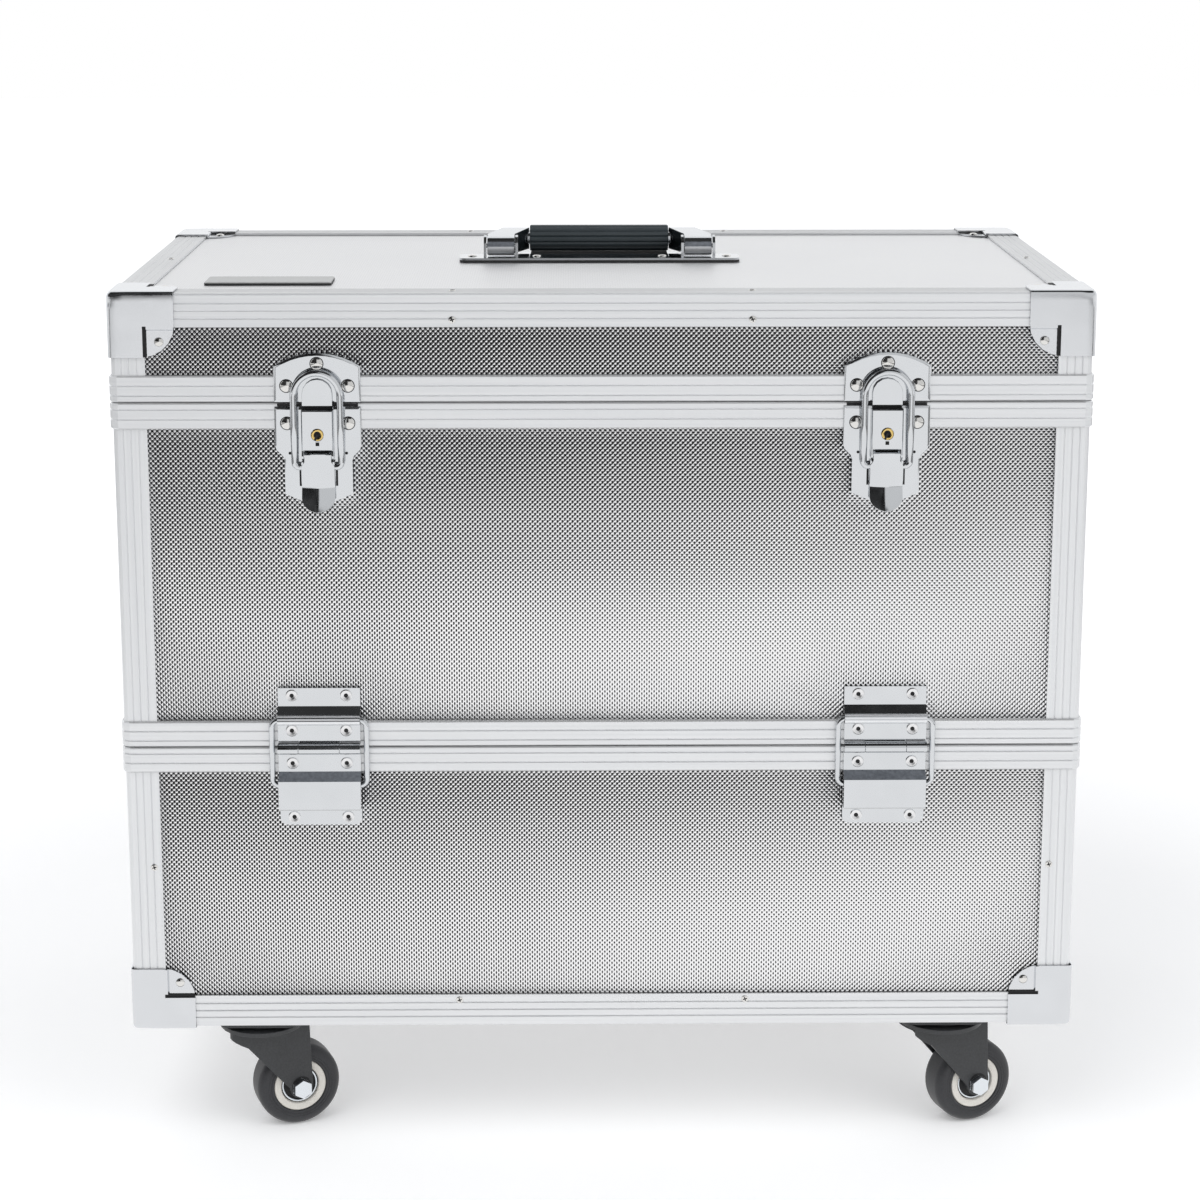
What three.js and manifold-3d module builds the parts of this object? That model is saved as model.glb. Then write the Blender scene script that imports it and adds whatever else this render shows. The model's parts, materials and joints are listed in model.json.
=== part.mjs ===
// A rolling sewing machine case in three stacked sections: a deep base tray on four swivel
// casters, a middle section that tilts forward on two stay hinges, and a lid that opens backward
// on two more. Two draw latches hold each seam shut on the side away from its hinges.
// Millimetres, +Z up, X to the right, Y to the back, origin on the floor under the centre.
import * as THREE from "three";
import { mergeVertices } from "three/addons/utils/BufferGeometryUtils.js";
import { RoundedBoxGeometry } from "three/addons/geometries/RoundedBoxGeometry.js";
import Module from "manifold-3d";

// Overall sizes
const caseLift = 73; // floor to the underside of the case
const baseHeight = 170; // underside of the case to the lower seam
const middleHeight = 199; // lower seam to upper seam
const lidHeight = 61; // upper seam to the top of the lid frame
const panelWidth = 541; // over the outer faces of the side panels
const panelDepth = 301; // over the outer faces of the front and rear panels
const panelThickness = 6;

// Clearances
const seatGap = 0.2; // between pieces that rest on each other
const seamGap = 0.25; // from the plane of a seam to the rim on either side
const runningGap = 0.25; // round a pivot
const sideGap = 0.5; // beside a moving piece
const joinDepth = 1; // how far joined solids run into each other
const overrun = 3; // how far a cut runs past what it cuts

// Angle extrusions along the edges
const angleLeg = 19;
const angleSkin = 1.4;
const angleRadius = 1.2; // outer edge of the top and bottom angles
const postRadius = 2.6; // outer edge of the corner posts
const grooveWidth = 1;
const grooveDepth = 0.4;
const legGrooveShares = [0.3, 0.52, 0.75];

// Rims along the seams
const rimHeight = 15;
const rimWall = 3;
const rimCap = 1.4;
const rimEdge = 0.7;
const rimCornerRadius = 5;
const rimGrooveShares = [0.26, 0.63];
const channelDepth = 12; // inner wall of a rim, down inside the section
const tongueHeight = 4; // a lower rim's inner wall, up past the seam
const tongueThickness = 1.5;

// Pressed ball corners
const cornerSheet = 1;
const cornerRadius = 5;
const cornerLeg = 37; // along each edge
const cornerLegWidth = 19.5;
const cornerSlot = 2; // between a tab and the leg beside it
const tabRadius = 18.7;
const tabBend = 0.8; // run of the bend that drops a tab onto the panel

// Stay hinges, from the seam and the face of the panel
const hingeInset = 109.5; // from the side panel's face to the middle of a hinge
const hingeHalfWidth = 23.4;
const leafSkin = 1.1;
const knuckleRadius = 3.3;
const hingePinRadius = 1.5;
const middleKnuckleHalf = 11.5;
const knuckleGap = 0.35;
const leafStart = 3.8; // from the pin to the edge of a leaf
const stayWireRadius = 1.6;
const stayBarHeight = 16.4; // upper bar of the stay, over the pin
const stayLength = 38.5; // between the bars of the stay
const stayHalfWidth = 26.85; // to the middle of a leg
const stayBend = 4;
const stayEndGap = 4; // between the two ends of the wire
const upperStep = 5; // height of the step down to the panel
const upperFlange = 34.3; // top of the upper leaf, over the pin
const pocketTop = 14.4; // where the lower leaf starts to step out, under the pin
const pocketStep = 4.6; // height of the step
const pocketRoom = 8.3; // panel face to the inside of the pocket
const pocketFoot = 35.5; // bottom of the pocket, under the pin
const pocketReturn = 0.4; // run of the step back to the panel
const lowerFlange = 46.9; // bottom of the lower leaf, under the pin
const flangeCorner = 4;

// Draw latches, from the seam and the face of the panel
const latchInset = 112.5; // from the side panel's face to the middle of a latch
const latchHalfWidth = 24;
const latchSkin = 1.2;
const latchBevelRun = 1.6;
const latchBevelDrop = 0.7;
const strikeStart = 0.5; // seam to the lower edge of the strike plate
const strikeShoulder = 20.6;
const strikeCrown = 28;
const hookHalfWidth = 8.4;
const hookDrop = 1.2; // how far the hook hangs past the seam
const hookTop = 13.7;
const hookStand = 0.8; // strike plate to the back of the hook
const hookThickness = 1.6;
const hookWebInset = 1.8;
const baseStart = 2.1; // seam to the upper edge of the base plate
const shoulderStart = 24;
const shoulderEnd = 32.5;
const neckHalfWidth = 18.9;
const neckEnd = 51.5;
const footHalfWidth = 8;
const baseEnd = 56.2;
const housingHalfWidth = 8.85;
const housingTop = 3.4;
const housingFoot = 26.3;
const housingStand = 4.6; // over the base plate
const housingBevel = 0.6;
const lockDrop = 17.1; // seam to the middle of the lock
const lockRadius = 3.3;
const lockDepth = 3.8;
const lockProud = 0.3;
const keySlotWidth = 1.1;
const keySlotHeight = 4.2;
const keySlotDepth = 1.6;
const notchDrop = 22.3; // square notch under the lock
const notchSize = 2;
const notchDepth = 1;
const leverPivotDrop = 29;
const leverPivotOut = 7;
const trunnionRadius = 1.4;
const earThickness = 1.1;
const earRadius = 2.5;
const leverNeckHalfWidth = 7.4;
const leverHalfWidth = 9.2;
const leverSkin = 1.1;
const leverTop = 28.2;
const leverShoulder = 32.2; // where the lever widens
const leverBendStart = 45;
const leverEnd = 60.2;
const leverReach = 13.6; // panel face to the middle of the thumb edge
const leverEyeRadius = 2;
const leverFlangeBack = 5.2; // panel face to the back edge of the flanges
const leverFlangeTaper = 41; // where the flanges start to narrow
const leverFlangeEnd = 49;
const bailPivotDrop = 35.5;
const bailPivotOut = 7.2;
const bailRadius = 1.9;
const bailHalfWidth = 12.9; // to the middle of a leg
const bailOut = 9.4; // panel face to the middle of the bow
const bailBowDrop = 4.8; // seam up to the centre of the bow
const bailBend = 2.6;
const bailLegStart = 31;
const bailLegEnd = 12;
const bailEndHold = 0.9; // how far an end reaches into the lever

// Folding handle on the lid
const handleSetback = 2; // behind the centre of the case
const handlePlateLength = 169;
const handlePlateWidth = 22;
const handlePlateThickness = 2.6;
const handlePlateCorner = 4;
const bracketInner = 49.3;
const bracketOuter = 69.9;
const bracketWall = 1.6;
const bracketRadius = 6.5;
const handlePivotHeight = 6.3; // over the plate
const armHubRadius = 5.7;
const armEndRadius = 6.6;
const armReach = 29.5; // pivot to the middle of the grip
const armRise = 1.1; // middle of the grip over the pivot
const armShift = 8.4; // how far the arms draw in towards the grip
const armNeck = 8.5; // pivot to where the arms draw in
const gripRodRadius = 4;
const gripRadius = 8.2;
const gripHalfLength = 40.8;
const gripRibCount = 14;
const gripRibDepth = 0.7;

// Casters
const casterSideInset = 69.5; // from the side panel's face to the swivel axis
const casterInset = 25; // from the front or rear panel's face to the swivel axis
const casterTurn = 21; // degrees that the forks stand turned at rest
const casterPlateSize = 46;
const casterPlateCorner = 6;
const casterPlateThickness = 2.5;
const racewayRadius = 19;
const racewayHeight = 2.6;
const kingpinRadius = 4.5;
const kingpinHead = 7;
const kingpinHeadHeight = 2.2;
const crownRadius = 25;
const crownThickness = 2.6;
const forkTrail = 19.5;
const forkSkin = 2.4;
const forkToeShare = 0.28; // toe of a leg in front of the axle, as a share of the crown radius
const forkShoulder = 12.2; // swivel axis to where the front edge of a leg starts
const forkHeel = 13; // height of the crown's skirt
const wheelRadius = 25;
const wheelWidth = 20;
const treadRound = 5;
const hubRadius = 16;
const hubRim = 3.2;
const hubDish = 3;
const bossRadius = 7;
const axleRadius = 3;
const boltFlats = 10; // across the flats of the axle bolt's head
const boltHeadHeight = 4;

// Places worked out from the sizes above
const lowerSeam = caseLift + baseHeight;
const upperSeam = lowerSeam + middleHeight;
const caseTop = upperSeam + lidHeight;
const angleOut = seatGap + angleSkin; // angle faces, out from the panel faces
const rimOut = seatGap + rimWall; // rim faces, out from the panel faces
const cornerOut = angleOut + seatGap + cornerSheet; // corner faces, out from the panel faces
const rimSeat = seamGap + rimCap + seatGap; // seam to the edge of a panel
const halfWidth = panelWidth / 2;
const halfDepth = panelDepth / 2;
const hingeOffset = halfWidth - hingeInset; // from the centre of the case
const latchOffset = halfWidth - latchInset;
const casterOffset = halfWidth - casterSideInset;
const halfTurn = 180; // degrees

const RIGHT = new THREE.Vector3(1, 0, 0);
const BACK = new THREE.Vector3(0, 1, 0);
const OUT = new THREE.Vector3(0, -1, 0); // away from a front panel
const UP = new THREE.Vector3(0, 0, 1);

const aluminium = new THREE.MeshStandardMaterial({ color: 0xd4d6d8, roughness: 0.42, metalness: 0.75 });
const laminate = new THREE.MeshStandardMaterial({ color: 0xb9bbbd, roughness: 0.5, metalness: 0.35 });
const chrome = new THREE.MeshStandardMaterial({ color: 0xdfe2e4, roughness: 0.16, metalness: 1 });
const brass = new THREE.MeshStandardMaterial({ color: 0xc79a3c, roughness: 0.3, metalness: 0.9 });
const blackSteel = new THREE.MeshStandardMaterial({ color: 0x3c3e41, roughness: 0.5, metalness: 0.3 });
const gripPlastic = new THREE.MeshStandardMaterial({ color: 0x303437, roughness: 0.55, metalness: 0 });
const tyre = new THREE.MeshStandardMaterial({ color: 0x3f4043, roughness: 0.6, metalness: 0 });

const wasm = await Module();
wasm.setup();

// A closed solid from a three.js geometry, with its faces turned outwards.
function solidOf(geometry, matrix = new THREE.Matrix4()) {
  const bare = geometry.clone().applyMatrix4(matrix);
  bare.deleteAttribute("normal");
  bare.deleteAttribute("uv");
  const merged = mergeVertices(bare);
  const index = merged.index.array;
  const triangles = [];
  for (let i = 0; i < index.length; i += 3) {
    const [a, b, c] = index.slice(i, i + 3);
    if (a !== b && b !== c && c !== a) triangles.push([a, b, c]);
  }
  const build = (list) =>
    new wasm.Manifold(
      new wasm.Mesh({
        numProp: 3,
        vertProperties: merged.attributes.position.array,
        triVerts: new Uint32Array(list.flat()),
      }),
    );
  const made = build(triangles);
  return made.volume() < 0 ? build(triangles.map(([a, b, c]) => [a, c, b])) : made;
}

function meshOf(name, solid, material) {
  const { vertProperties, triVerts } = solid.getMesh();
  const geometry = new THREE.BufferGeometry();
  geometry.setAttribute("position", new THREE.BufferAttribute(vertProperties, 3));
  geometry.setIndex(new THREE.BufferAttribute(triVerts, 1));
  const mesh = new THREE.Mesh(geometry.toNonIndexed(), material);
  mesh.geometry.computeVertexNormals();
  mesh.name = name;
  return mesh;
}

const joined = (...solids) => solids.reduce((whole, next) => whole.add(next));
const cut = (solid, ...tools) => tools.reduce((left, tool) => left.subtract(tool), solid);

function block([x0, x1], [y0, y1], [z0, z1]) {
  const geometry = new THREE.BoxGeometry(x1 - x0, y1 - y0, z1 - z0);
  geometry.translate((x0 + x1) / 2, (y0 + y1) / 2, (z0 + z1) / 2);
  return solidOf(geometry);
}

const both = (reach) => [-reach, reach];
const polygon = (points) => new THREE.Shape(points.map(([a, b]) => new THREE.Vector2(a, b)));

// An outline drawn on the axes p and q, extruded along e from one place to another.
function prism(outline, [p, q, e], from, to, curveSegments = 6) {
  const options = { depth: to - from, bevelEnabled: false, curveSegments };
  const geometry = new THREE.ExtrudeGeometry(outline, options);
  geometry.translate(0, 0, from);
  return solidOf(geometry, new THREE.Matrix4().makeBasis(p, q, e));
}

const plate = (outline, back, front, segments) => prism(outline, [RIGHT, UP, OUT], back, front, segments);
const profile = (outline, [left, right], segments) =>
  prism(outline, [OUT, UP, RIGHT], left, right, segments);

// A plate whose front edges are bevelled like a pressing.
function pressed(outline, back, front, run, drop, curveSegments = 5) {
  const geometry = new THREE.ExtrudeGeometry(outline, {
    depth: front - back - drop + overrun,
    bevelThickness: drop,
    bevelSize: run,
    bevelOffset: -run,
    bevelSegments: 1,
    curveSegments,
  });
  geometry.translate(0, 0, back - overrun);
  const solid = solidOf(geometry, new THREE.Matrix4().makeBasis(RIGHT, UP, OUT));
  const reach = panelWidth;
  return cut(solid, block(both(reach), [-back, reach], both(reach)));
}

function disc(radius, [from, to], centre, axis, sides) {
  const geometry = new THREE.CylinderGeometry(radius, radius, to - from, sides);
  geometry.translate(0, (from + to) / 2, 0);
  const turn = new THREE.Quaternion().setFromUnitVectors(new THREE.Vector3(0, 1, 0), axis);
  const matrix = new THREE.Matrix4().makeRotationFromQuaternion(turn).setPosition(...centre);
  return solidOf(geometry, matrix);
}

// A strip of sheet metal of even thickness, drawn along its middle line.
function band(points, thickness) {
  const line = points.map(([a, b]) => new THREE.Vector2(a, b));
  const sideAt = (i) => {
    const before = line[Math.max(i - 1, 0)];
    const here = line[i];
    const after = line[Math.min(i + 1, line.length - 1)];
    const into = here.clone().sub(before).normalize();
    const onward = after.clone().sub(here).normalize();
    if (i === 0) into.copy(onward);
    if (i === line.length - 1) onward.copy(into);
    const normal = new THREE.Vector2(-into.y - onward.y, into.x + onward.x).normalize();
    const square = new THREE.Vector2(-into.y, into.x);
    return normal.multiplyScalar(thickness / 2 / normal.dot(square));
  };
  const left = line.map((point, i) => point.clone().add(sideAt(i)));
  const right = line.map((point, i) => point.clone().sub(sideAt(i)));
  return new THREE.Shape([...left, ...right.reverse()]);
}

// A route whose steps fall exactly on the points given, for round wire.
class WireRoute extends THREE.Curve {
  constructor(points) {
    super();
    this.stations = points.map((point) => new THREE.Vector3(...point));
  }

  getPointAt(share, target = new THREE.Vector3()) {
    return target.copy(this.stations[Math.round(share * (this.stations.length - 1))]);
  }

  getTangentAt(share, target = new THREE.Vector3()) {
    const last = this.stations.length - 1;
    const at = Math.round(share * last);
    const after = this.stations[Math.min(at + 1, last)];
    return target.copy(after).sub(this.stations[Math.max(at - 1, 0)]).normalize();
  }
}

function wire(points, radius, sides = 6) {
  const section = new THREE.Shape();
  section.absarc(0, 0, radius, 0, 2 * Math.PI);
  return solidOf(
    new THREE.ExtrudeGeometry(new THREE.Shape(section.getPoints(sides / 2).slice(0, sides)), {
      extrudePath: new WireRoute(points),
      steps: points.length - 1,
      bevelEnabled: false,
    }),
  );
}

// Points along an arc, from one angle to another in degrees.
function arc([a, b], radius, from, to, steps) {
  return Array.from({ length: steps + 1 }, (_, i) => {
    const angle = THREE.MathUtils.degToRad(from + ((to - from) * i) / steps);
    return [a + radius * Math.cos(angle), b + radius * Math.sin(angle)];
  });
}

function roundedRectangle(halfLength, halfHeight, radius) {
  const shape = new THREE.Shape();
  shape.absarc(halfLength - radius, halfHeight - radius, radius, 0, Math.PI / 2);
  shape.absarc(radius - halfLength, halfHeight - radius, radius, Math.PI / 2, Math.PI);
  shape.absarc(radius - halfLength, radius - halfHeight, radius, Math.PI, 1.5 * Math.PI);
  shape.absarc(halfLength - radius, radius - halfHeight, radius, 1.5 * Math.PI, 2 * Math.PI);
  return shape;
}

// A ring round the case. The section's points are [u, z], with u out from the panel faces. Points
// further out than the seat turn the corners on an arc, and the others meet at a mitre.
function ring(section, roundRadius = 0, roundSteps = 0) {
  const pivot = Math.max(...section.map(([u]) => u)) - roundRadius;
  const quarters = [[1, 1], [-1, 1], [-1, -1], [1, -1]];
  const stations = quarters.flatMap(([sx, sy], quarter) =>
    Array.from({ length: roundSteps + 1 }, (_, step) => {
      const angle = (Math.PI / 2) * (quarter + (roundSteps ? step / roundSteps : 0));
      return section.map(([u, z]) =>
        roundSteps && u > seatGap
          ? [
              sx * (halfWidth + pivot) + (u - pivot) * Math.cos(angle),
              sy * (halfDepth + pivot) + (u - pivot) * Math.sin(angle),
              z,
            ]
          : [sx * (halfWidth + u), sy * (halfDepth + u), z],
      );
    }),
  );
  const positions = stations.flat(2);
  const count = section.length;
  const indices = [];
  stations.forEach((_, i) => {
    const here = i * count;
    const there = ((i + 1) % stations.length) * count;
    for (let j = 0; j < count; j++) {
      const k = (j + 1) % count;
      indices.push(here + j, there + j, there + k, here + j, there + k, here + k);
    }
  });
  const geometry = new THREE.BufferGeometry();
  geometry.setAttribute("position", new THREE.Float32BufferAttribute(positions, 3));
  geometry.setIndex(indices);
  return solidOf(geometry);
}

// The section of an angle extrusion, from its outer edge at the origin, with V grooves.
function angleSection(radius) {
  const places = legGrooveShares.map((share) => share * angleLeg);
  const groove = (at) => [
    [at - grooveWidth / 2, 0],
    [at, grooveDepth],
    [at + grooveWidth / 2, 0],
  ];
  const alongA = places.flatMap(groove).reverse();
  const alongB = places.flatMap(groove).map(([a, b]) => [b, a]);
  const edge = arc([radius, radius], radius, 270, 180, 2);
  return [
    [angleLeg, 0], ...alongA, ...edge, ...alongB, [0, angleLeg],
    [angleSkin, angleLeg], [angleSkin, angleSkin], [angleLeg, angleSkin],
  ];
}

// The section of a rim as [u, depth from the seam]. A lower rim's inner wall runs on past the
// seam as a tongue, and an upper rim stops at the inside of the panel to let it in.
function rimSection(withTongue) {
  const outerFace = rimGrooveShares.flatMap((share) => {
    const at = share * rimHeight;
    return [
      [rimOut, at - grooveWidth / 2],
      [rimOut - grooveDepth, at],
      [rimOut, at + grooveWidth / 2],
    ];
  });
  const inside = -(panelThickness + seatGap);
  const cap = seamGap + rimCap;
  const tongueBack = inside - tongueThickness;
  const inner = withTongue
    ? [
        [inside, cap], [inside, channelDepth], [tongueBack, channelDepth],
        [tongueBack, rimEdge - tongueHeight], [tongueBack + rimEdge, -tongueHeight],
        [inside, -tongueHeight], [inside, seamGap],
      ]
    : [[seatGap - panelThickness, cap], [seatGap - panelThickness, seamGap]];
  return [
    [rimOut, seamGap + rimEdge], ...outerFace, [rimOut, rimHeight - rimEdge],
    [rimOut - rimEdge, rimHeight], [seatGap, rimHeight], [seatGap, cap], ...inner,
    [rimOut - rimEdge, seamGap],
  ];
}

function rim(seam, side, withTongue) {
  const section = rimSection(withTongue).map(([u, depth]) => [u, seam + side * depth]);
  return ring(section, rimCornerRadius, 2);
}

function angleRing(level, side) {
  return ring(angleSection(angleRadius).map(([a, b]) => [angleOut - a, level + side * b]));
}

const corners = [[-1, -1], [1, -1], [-1, 1], [1, 1]];

function posts(from, to) {
  const section = polygon(angleSection(postRadius));
  return corners.map(([sx, sy]) => {
    const into = [RIGHT.clone().multiplyScalar(-sx), BACK.clone().multiplyScalar(-sy), UP];
    return prism(section, into, from, to).translate([
      sx * (halfWidth + angleOut),
      sy * (halfDepth + angleOut),
      0,
    ]);
  });
}

// What lies outside a ball corner, cut off the frame that it covers.
function cornerTrim(sx, sy, sz, level) {
  const size = 2 * (cornerLeg + overrun);
  const shrink = cornerSheet + seatGap / 2;
  const round = new RoundedBoxGeometry(size, size, size, 1, cornerRadius - shrink - seatGap / 2);
  round.translate(size / 2 + shrink, size / 2 + shrink, size / 2 + shrink);
  const zone = block([-overrun, cornerLeg], [-overrun, cornerLeg], [-overrun, cornerLeg]);
  const place = new THREE.Matrix4()
    .makeTranslation(sx * (halfWidth + cornerOut), sy * (halfDepth + cornerOut), level)
    .scale(new THREE.Vector3(-sx, -sy, -sz));
  const outside = cut(zone, solidOf(round));
  return solidOf(meshOf("", outside).geometry, place);
}

const bottomCornerLevel = caseLift - seatGap - cornerSheet;
const topCornerLevel = caseTop + seatGap + cornerSheet;

function baseFrame() {
  const whole = joined(
    angleRing(caseLift, 1),
    ...posts(caseLift + angleLeg - joinDepth, lowerSeam - rimHeight + joinDepth),
    rim(lowerSeam, -1, true),
  );
  return cut(whole, ...corners.map(([sx, sy]) => cornerTrim(sx, sy, -1, bottomCornerLevel)));
}

function middleFrame() {
  return joined(
    rim(lowerSeam, 1, false),
    ...posts(lowerSeam + rimHeight - joinDepth, upperSeam - rimHeight + joinDepth),
    rim(upperSeam, -1, true),
  );
}

function lidFrame() {
  const whole = joined(
    rim(upperSeam, 1, false),
    ...posts(upperSeam + rimHeight - joinDepth, caseTop - angleLeg + joinDepth),
    angleRing(caseTop, -1),
  );
  return cut(whole, ...corners.map(([sx, sy]) => cornerTrim(sx, sy, 1, topCornerLevel)));
}

// A tube of four panels between two levels.
function walls(from, to, closedTop = false) {
  const outer = block(both(halfWidth), both(halfDepth), [from, to]);
  const ceiling = closedTop ? to - panelThickness : to + overrun;
  const hollow = block(
    both(halfWidth - panelThickness),
    both(halfDepth - panelThickness),
    [from - overrun, ceiling],
  );
  return cut(outer, hollow);
}

function baseFloor() {
  const inset = panelThickness + seatGap;
  const level = caseLift + angleOut;
  return block(both(halfWidth - inset), both(halfDepth - inset), [level, level + panelThickness]);
}

// A ball corner with its tip at the origin and its legs along +X, +Y and +Z. On the two faces
// beside the main leg the tabs hang from that leg.
function ballCorner(main) {
  const size = 2 * (cornerLeg + overrun);
  const shell = (inset) => {
    const round = new RoundedBoxGeometry(size, size, size, 2, cornerRadius - inset);
    round.translate(size / 2 + inset, size / 2 + inset, size / 2 + inset);
    return solidOf(round);
  };
  const leg = [0, cornerLeg];
  const width = [0, cornerLegWidth];
  const legs = joined(block(leg, width, width), block(width, leg, width), block(width, width, leg));
  const sheet = cut(shell(0).intersect(legs), shell(cornerSheet));
  const all = [RIGHT, BACK, UP];
  const [first, second] = all.filter((axis) => axis !== main);
  const faces = [[main, first, second], [main, second, first], [first, second, main]];
  const tabs = faces.map((axes) => cornerTab(axes));
  return joined(sheet, ...tabs);
}

// The tab of one face of a ball corner, hanging from the leg along a.
function cornerTab([a, b, c]) {
  const flangeEdge = cornerSheet + seatGap + angleLeg + seatGap;
  const drop = cornerOut - seatGap - cornerSheet; // tab face under leg face
  const dropped = [
    [cornerLegWidth - joinDepth, 0], [flangeEdge + tabBend, 0], [flangeEdge + 2 * tabBend, drop],
    [cornerLeg, drop], [cornerLeg, drop + cornerSheet], [flangeEdge + tabBend, drop + cornerSheet],
    [flangeEdge, cornerSheet], [cornerLegWidth - joinDepth, cornerSheet],
  ];
  const strip = prism(polygon(dropped), [b, c, a], cornerLegWidth + cornerSlot, cornerLeg);
  const centre = cornerLeg - tabRadius;
  const round = new THREE.Shape();
  round.absarc(centre, centre, tabRadius, 0, 2 * Math.PI);
  return strip.intersect(prism(round, [a, b, c], -overrun, drop + cornerSheet + overrun, 10));
}

// Hinges: both leaves are bent strips, drawn as [u, z] from the seam and the panel's face.
const leafBack = rimOut + seatGap;
const leafMid = leafBack + leafSkin / 2;
const hingePinOut = leafBack + knuckleRadius;
const stayOut = rimOut + 2 * seatGap + stayWireRadius;
const flangeMid = seatGap + leafSkin / 2;

function knuckle([from, to], radius, sides) {
  return disc(radius, [from, to], [0, -hingePinOut, 0], RIGHT, sides);
}

// The strip that joins a knuckle to its leaf, on one side of the pin.
function knuckleWeb(span, side) {
  const heights = side > 0 ? [0, leafStart + joinDepth] : [-leafStart - joinDepth, 0];
  return block(span, [-leafBack - leafSkin, -leafBack], heights);
}

function hingeUpperLeaf() {
  const sleeve = stayWireRadius + runningGap + leafSkin / 2;
  const open = THREE.MathUtils.radToDeg(Math.acos((leafMid - stayOut) / sleeve));
  const bulge = arc([stayOut, stayBarHeight], sleeve, -open, open, 6);
  const stepTop = bulge.at(-1)[1] + upperStep;
  const line = [[leafMid, leafStart], ...bulge, [flangeMid, stepTop], [flangeMid, upperFlange]];
  const strip = profile(band(line, leafSkin), both(hingeHalfWidth));
  const middle = both(middleKnuckleHalf);
  const bore = knuckle(both(middleKnuckleHalf + overrun), hingePinRadius + runningGap, 10);
  return cut(joined(strip, knuckleWeb(middle, 1), knuckle(middle, knuckleRadius, 14)), bore);
}

function hingeLowerLeaf() {
  const pocketMid = pocketRoom + leafSkin / 2;
  const line = [
    [leafMid, -leafStart], [leafMid, -pocketTop], [pocketMid, -pocketTop - pocketStep],
    [pocketMid, -pocketFoot], [flangeMid, -pocketFoot - pocketReturn], [flangeMid, -lowerFlange],
  ];
  const strip = profile(band(line, leafSkin), both(hingeHalfWidth));
  const outline = new THREE.Shape();
  const foot = -lowerFlange;
  outline.moveTo(-hingeHalfWidth, 0);
  outline.lineTo(hingeHalfWidth, 0);
  outline.absarc(hingeHalfWidth - flangeCorner, foot + flangeCorner, flangeCorner, 0, -Math.PI / 2, true);
  outline.absarc(flangeCorner - hingeHalfWidth, foot + flangeCorner, flangeCorner, -Math.PI / 2, -Math.PI, true);
  const rounded = strip.intersect(plate(outline, -overrun, pocketRoom + leafSkin + overrun, 4));
  const inner = middleKnuckleHalf + knuckleGap;
  const sides = [[-hingeHalfWidth, -inner], [inner, hingeHalfWidth]];
  return joined(
    rounded,
    ...sides.map((span) => knuckleWeb(span, -1)),
    ...sides.map((span) => knuckle(span, knuckleRadius, 14)),
    knuckle(both(hingeHalfWidth - joinDepth), hingePinRadius, 10),
  );
}

// The wire stay: a loop with its ends facing each other in the pocket of the lower leaf.
function hingeStay() {
  const foot = stayBarHeight - stayLength;
  const side = stayHalfWidth - stayBend;
  const half = [
    [stayEndGap / 2, foot],
    ...arc([side, foot + stayBend], stayBend, -90, 0, 2),
    ...arc([side, stayBarHeight - stayBend], stayBend, 0, 90, 2),
  ];
  const mirrored = half.map(([x, z]) => [-x, z]).reverse();
  return wire([...half, ...mirrored].map(([x, z]) => [x, -stayOut, z]), stayWireRadius);
}

// Latches
const latchBack = rimOut + seatGap;
const latchFront = latchBack + latchSkin;
const housingFront = latchFront + housingStand;

function strikeOutline(inset) {
  const half = latchHalfWidth - inset;
  const rise = strikeCrown - strikeShoulder;
  const radius = (half * half + rise * rise) / (2 * rise);
  const spread = THREE.MathUtils.radToDeg(Math.asin(half / radius));
  const crown = arc([0, strikeCrown - inset - radius], radius, 90 - spread, 90 + spread, 10);
  return polygon([[-half, strikeStart], [half, strikeStart], ...crown]);
}

// The upper half of a latch: a shallow pressing over the rim, with the hook for the bail.
function latchStrike() {
  const shell = pressed(strikeOutline(0), seatGap, latchFront, latchBevelRun, latchBevelDrop);
  const reach = latchHalfWidth + overrun;
  const overRim = block(both(reach), [-latchBack, reach], [-reach, rimHeight + seatGap]);
  const hollow = plate(strikeOutline(latchSkin), -overrun, latchBack);
  const tip = hookTop - hookHalfWidth;
  const hookOutline = (inset, foot) => {
    const half = hookHalfWidth - inset;
    return polygon([[-half, foot], [half, foot], ...arc([0, tip], half, 0, 180, 8)]);
  };
  const hookBack = latchFront + hookStand;
  return joined(
    cut(shell, overRim, hollow),
    plate(hookOutline(0, -hookDrop), hookBack, hookBack + hookThickness),
    plate(hookOutline(hookWebInset, strikeStart + hookWebInset), latchBack, hookBack + hookThickness / 2),
  );
}

function latchBaseOutline(inset) {
  const wide = latchHalfWidth - inset;
  const neck = neckHalfWidth - inset;
  const middle = -(shoulderStart + shoulderEnd) / 2;
  const shape = new THREE.Shape();
  shape.moveTo(-wide, -baseStart);
  shape.lineTo(wide, -baseStart);
  shape.lineTo(wide, -shoulderStart);
  shape.bezierCurveTo(wide, middle, neck, middle, neck, -shoulderEnd);
  shape.lineTo(neck, -neckEnd);
  shape.lineTo(footHalfWidth, inset - baseEnd);
  shape.lineTo(-footHalfWidth, inset - baseEnd);
  shape.lineTo(-neck, -neckEnd);
  shape.lineTo(-neck, -shoulderEnd);
  shape.bezierCurveTo(-neck, middle, -wide, middle, -wide, -shoulderStart);
  return shape;
}

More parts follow.
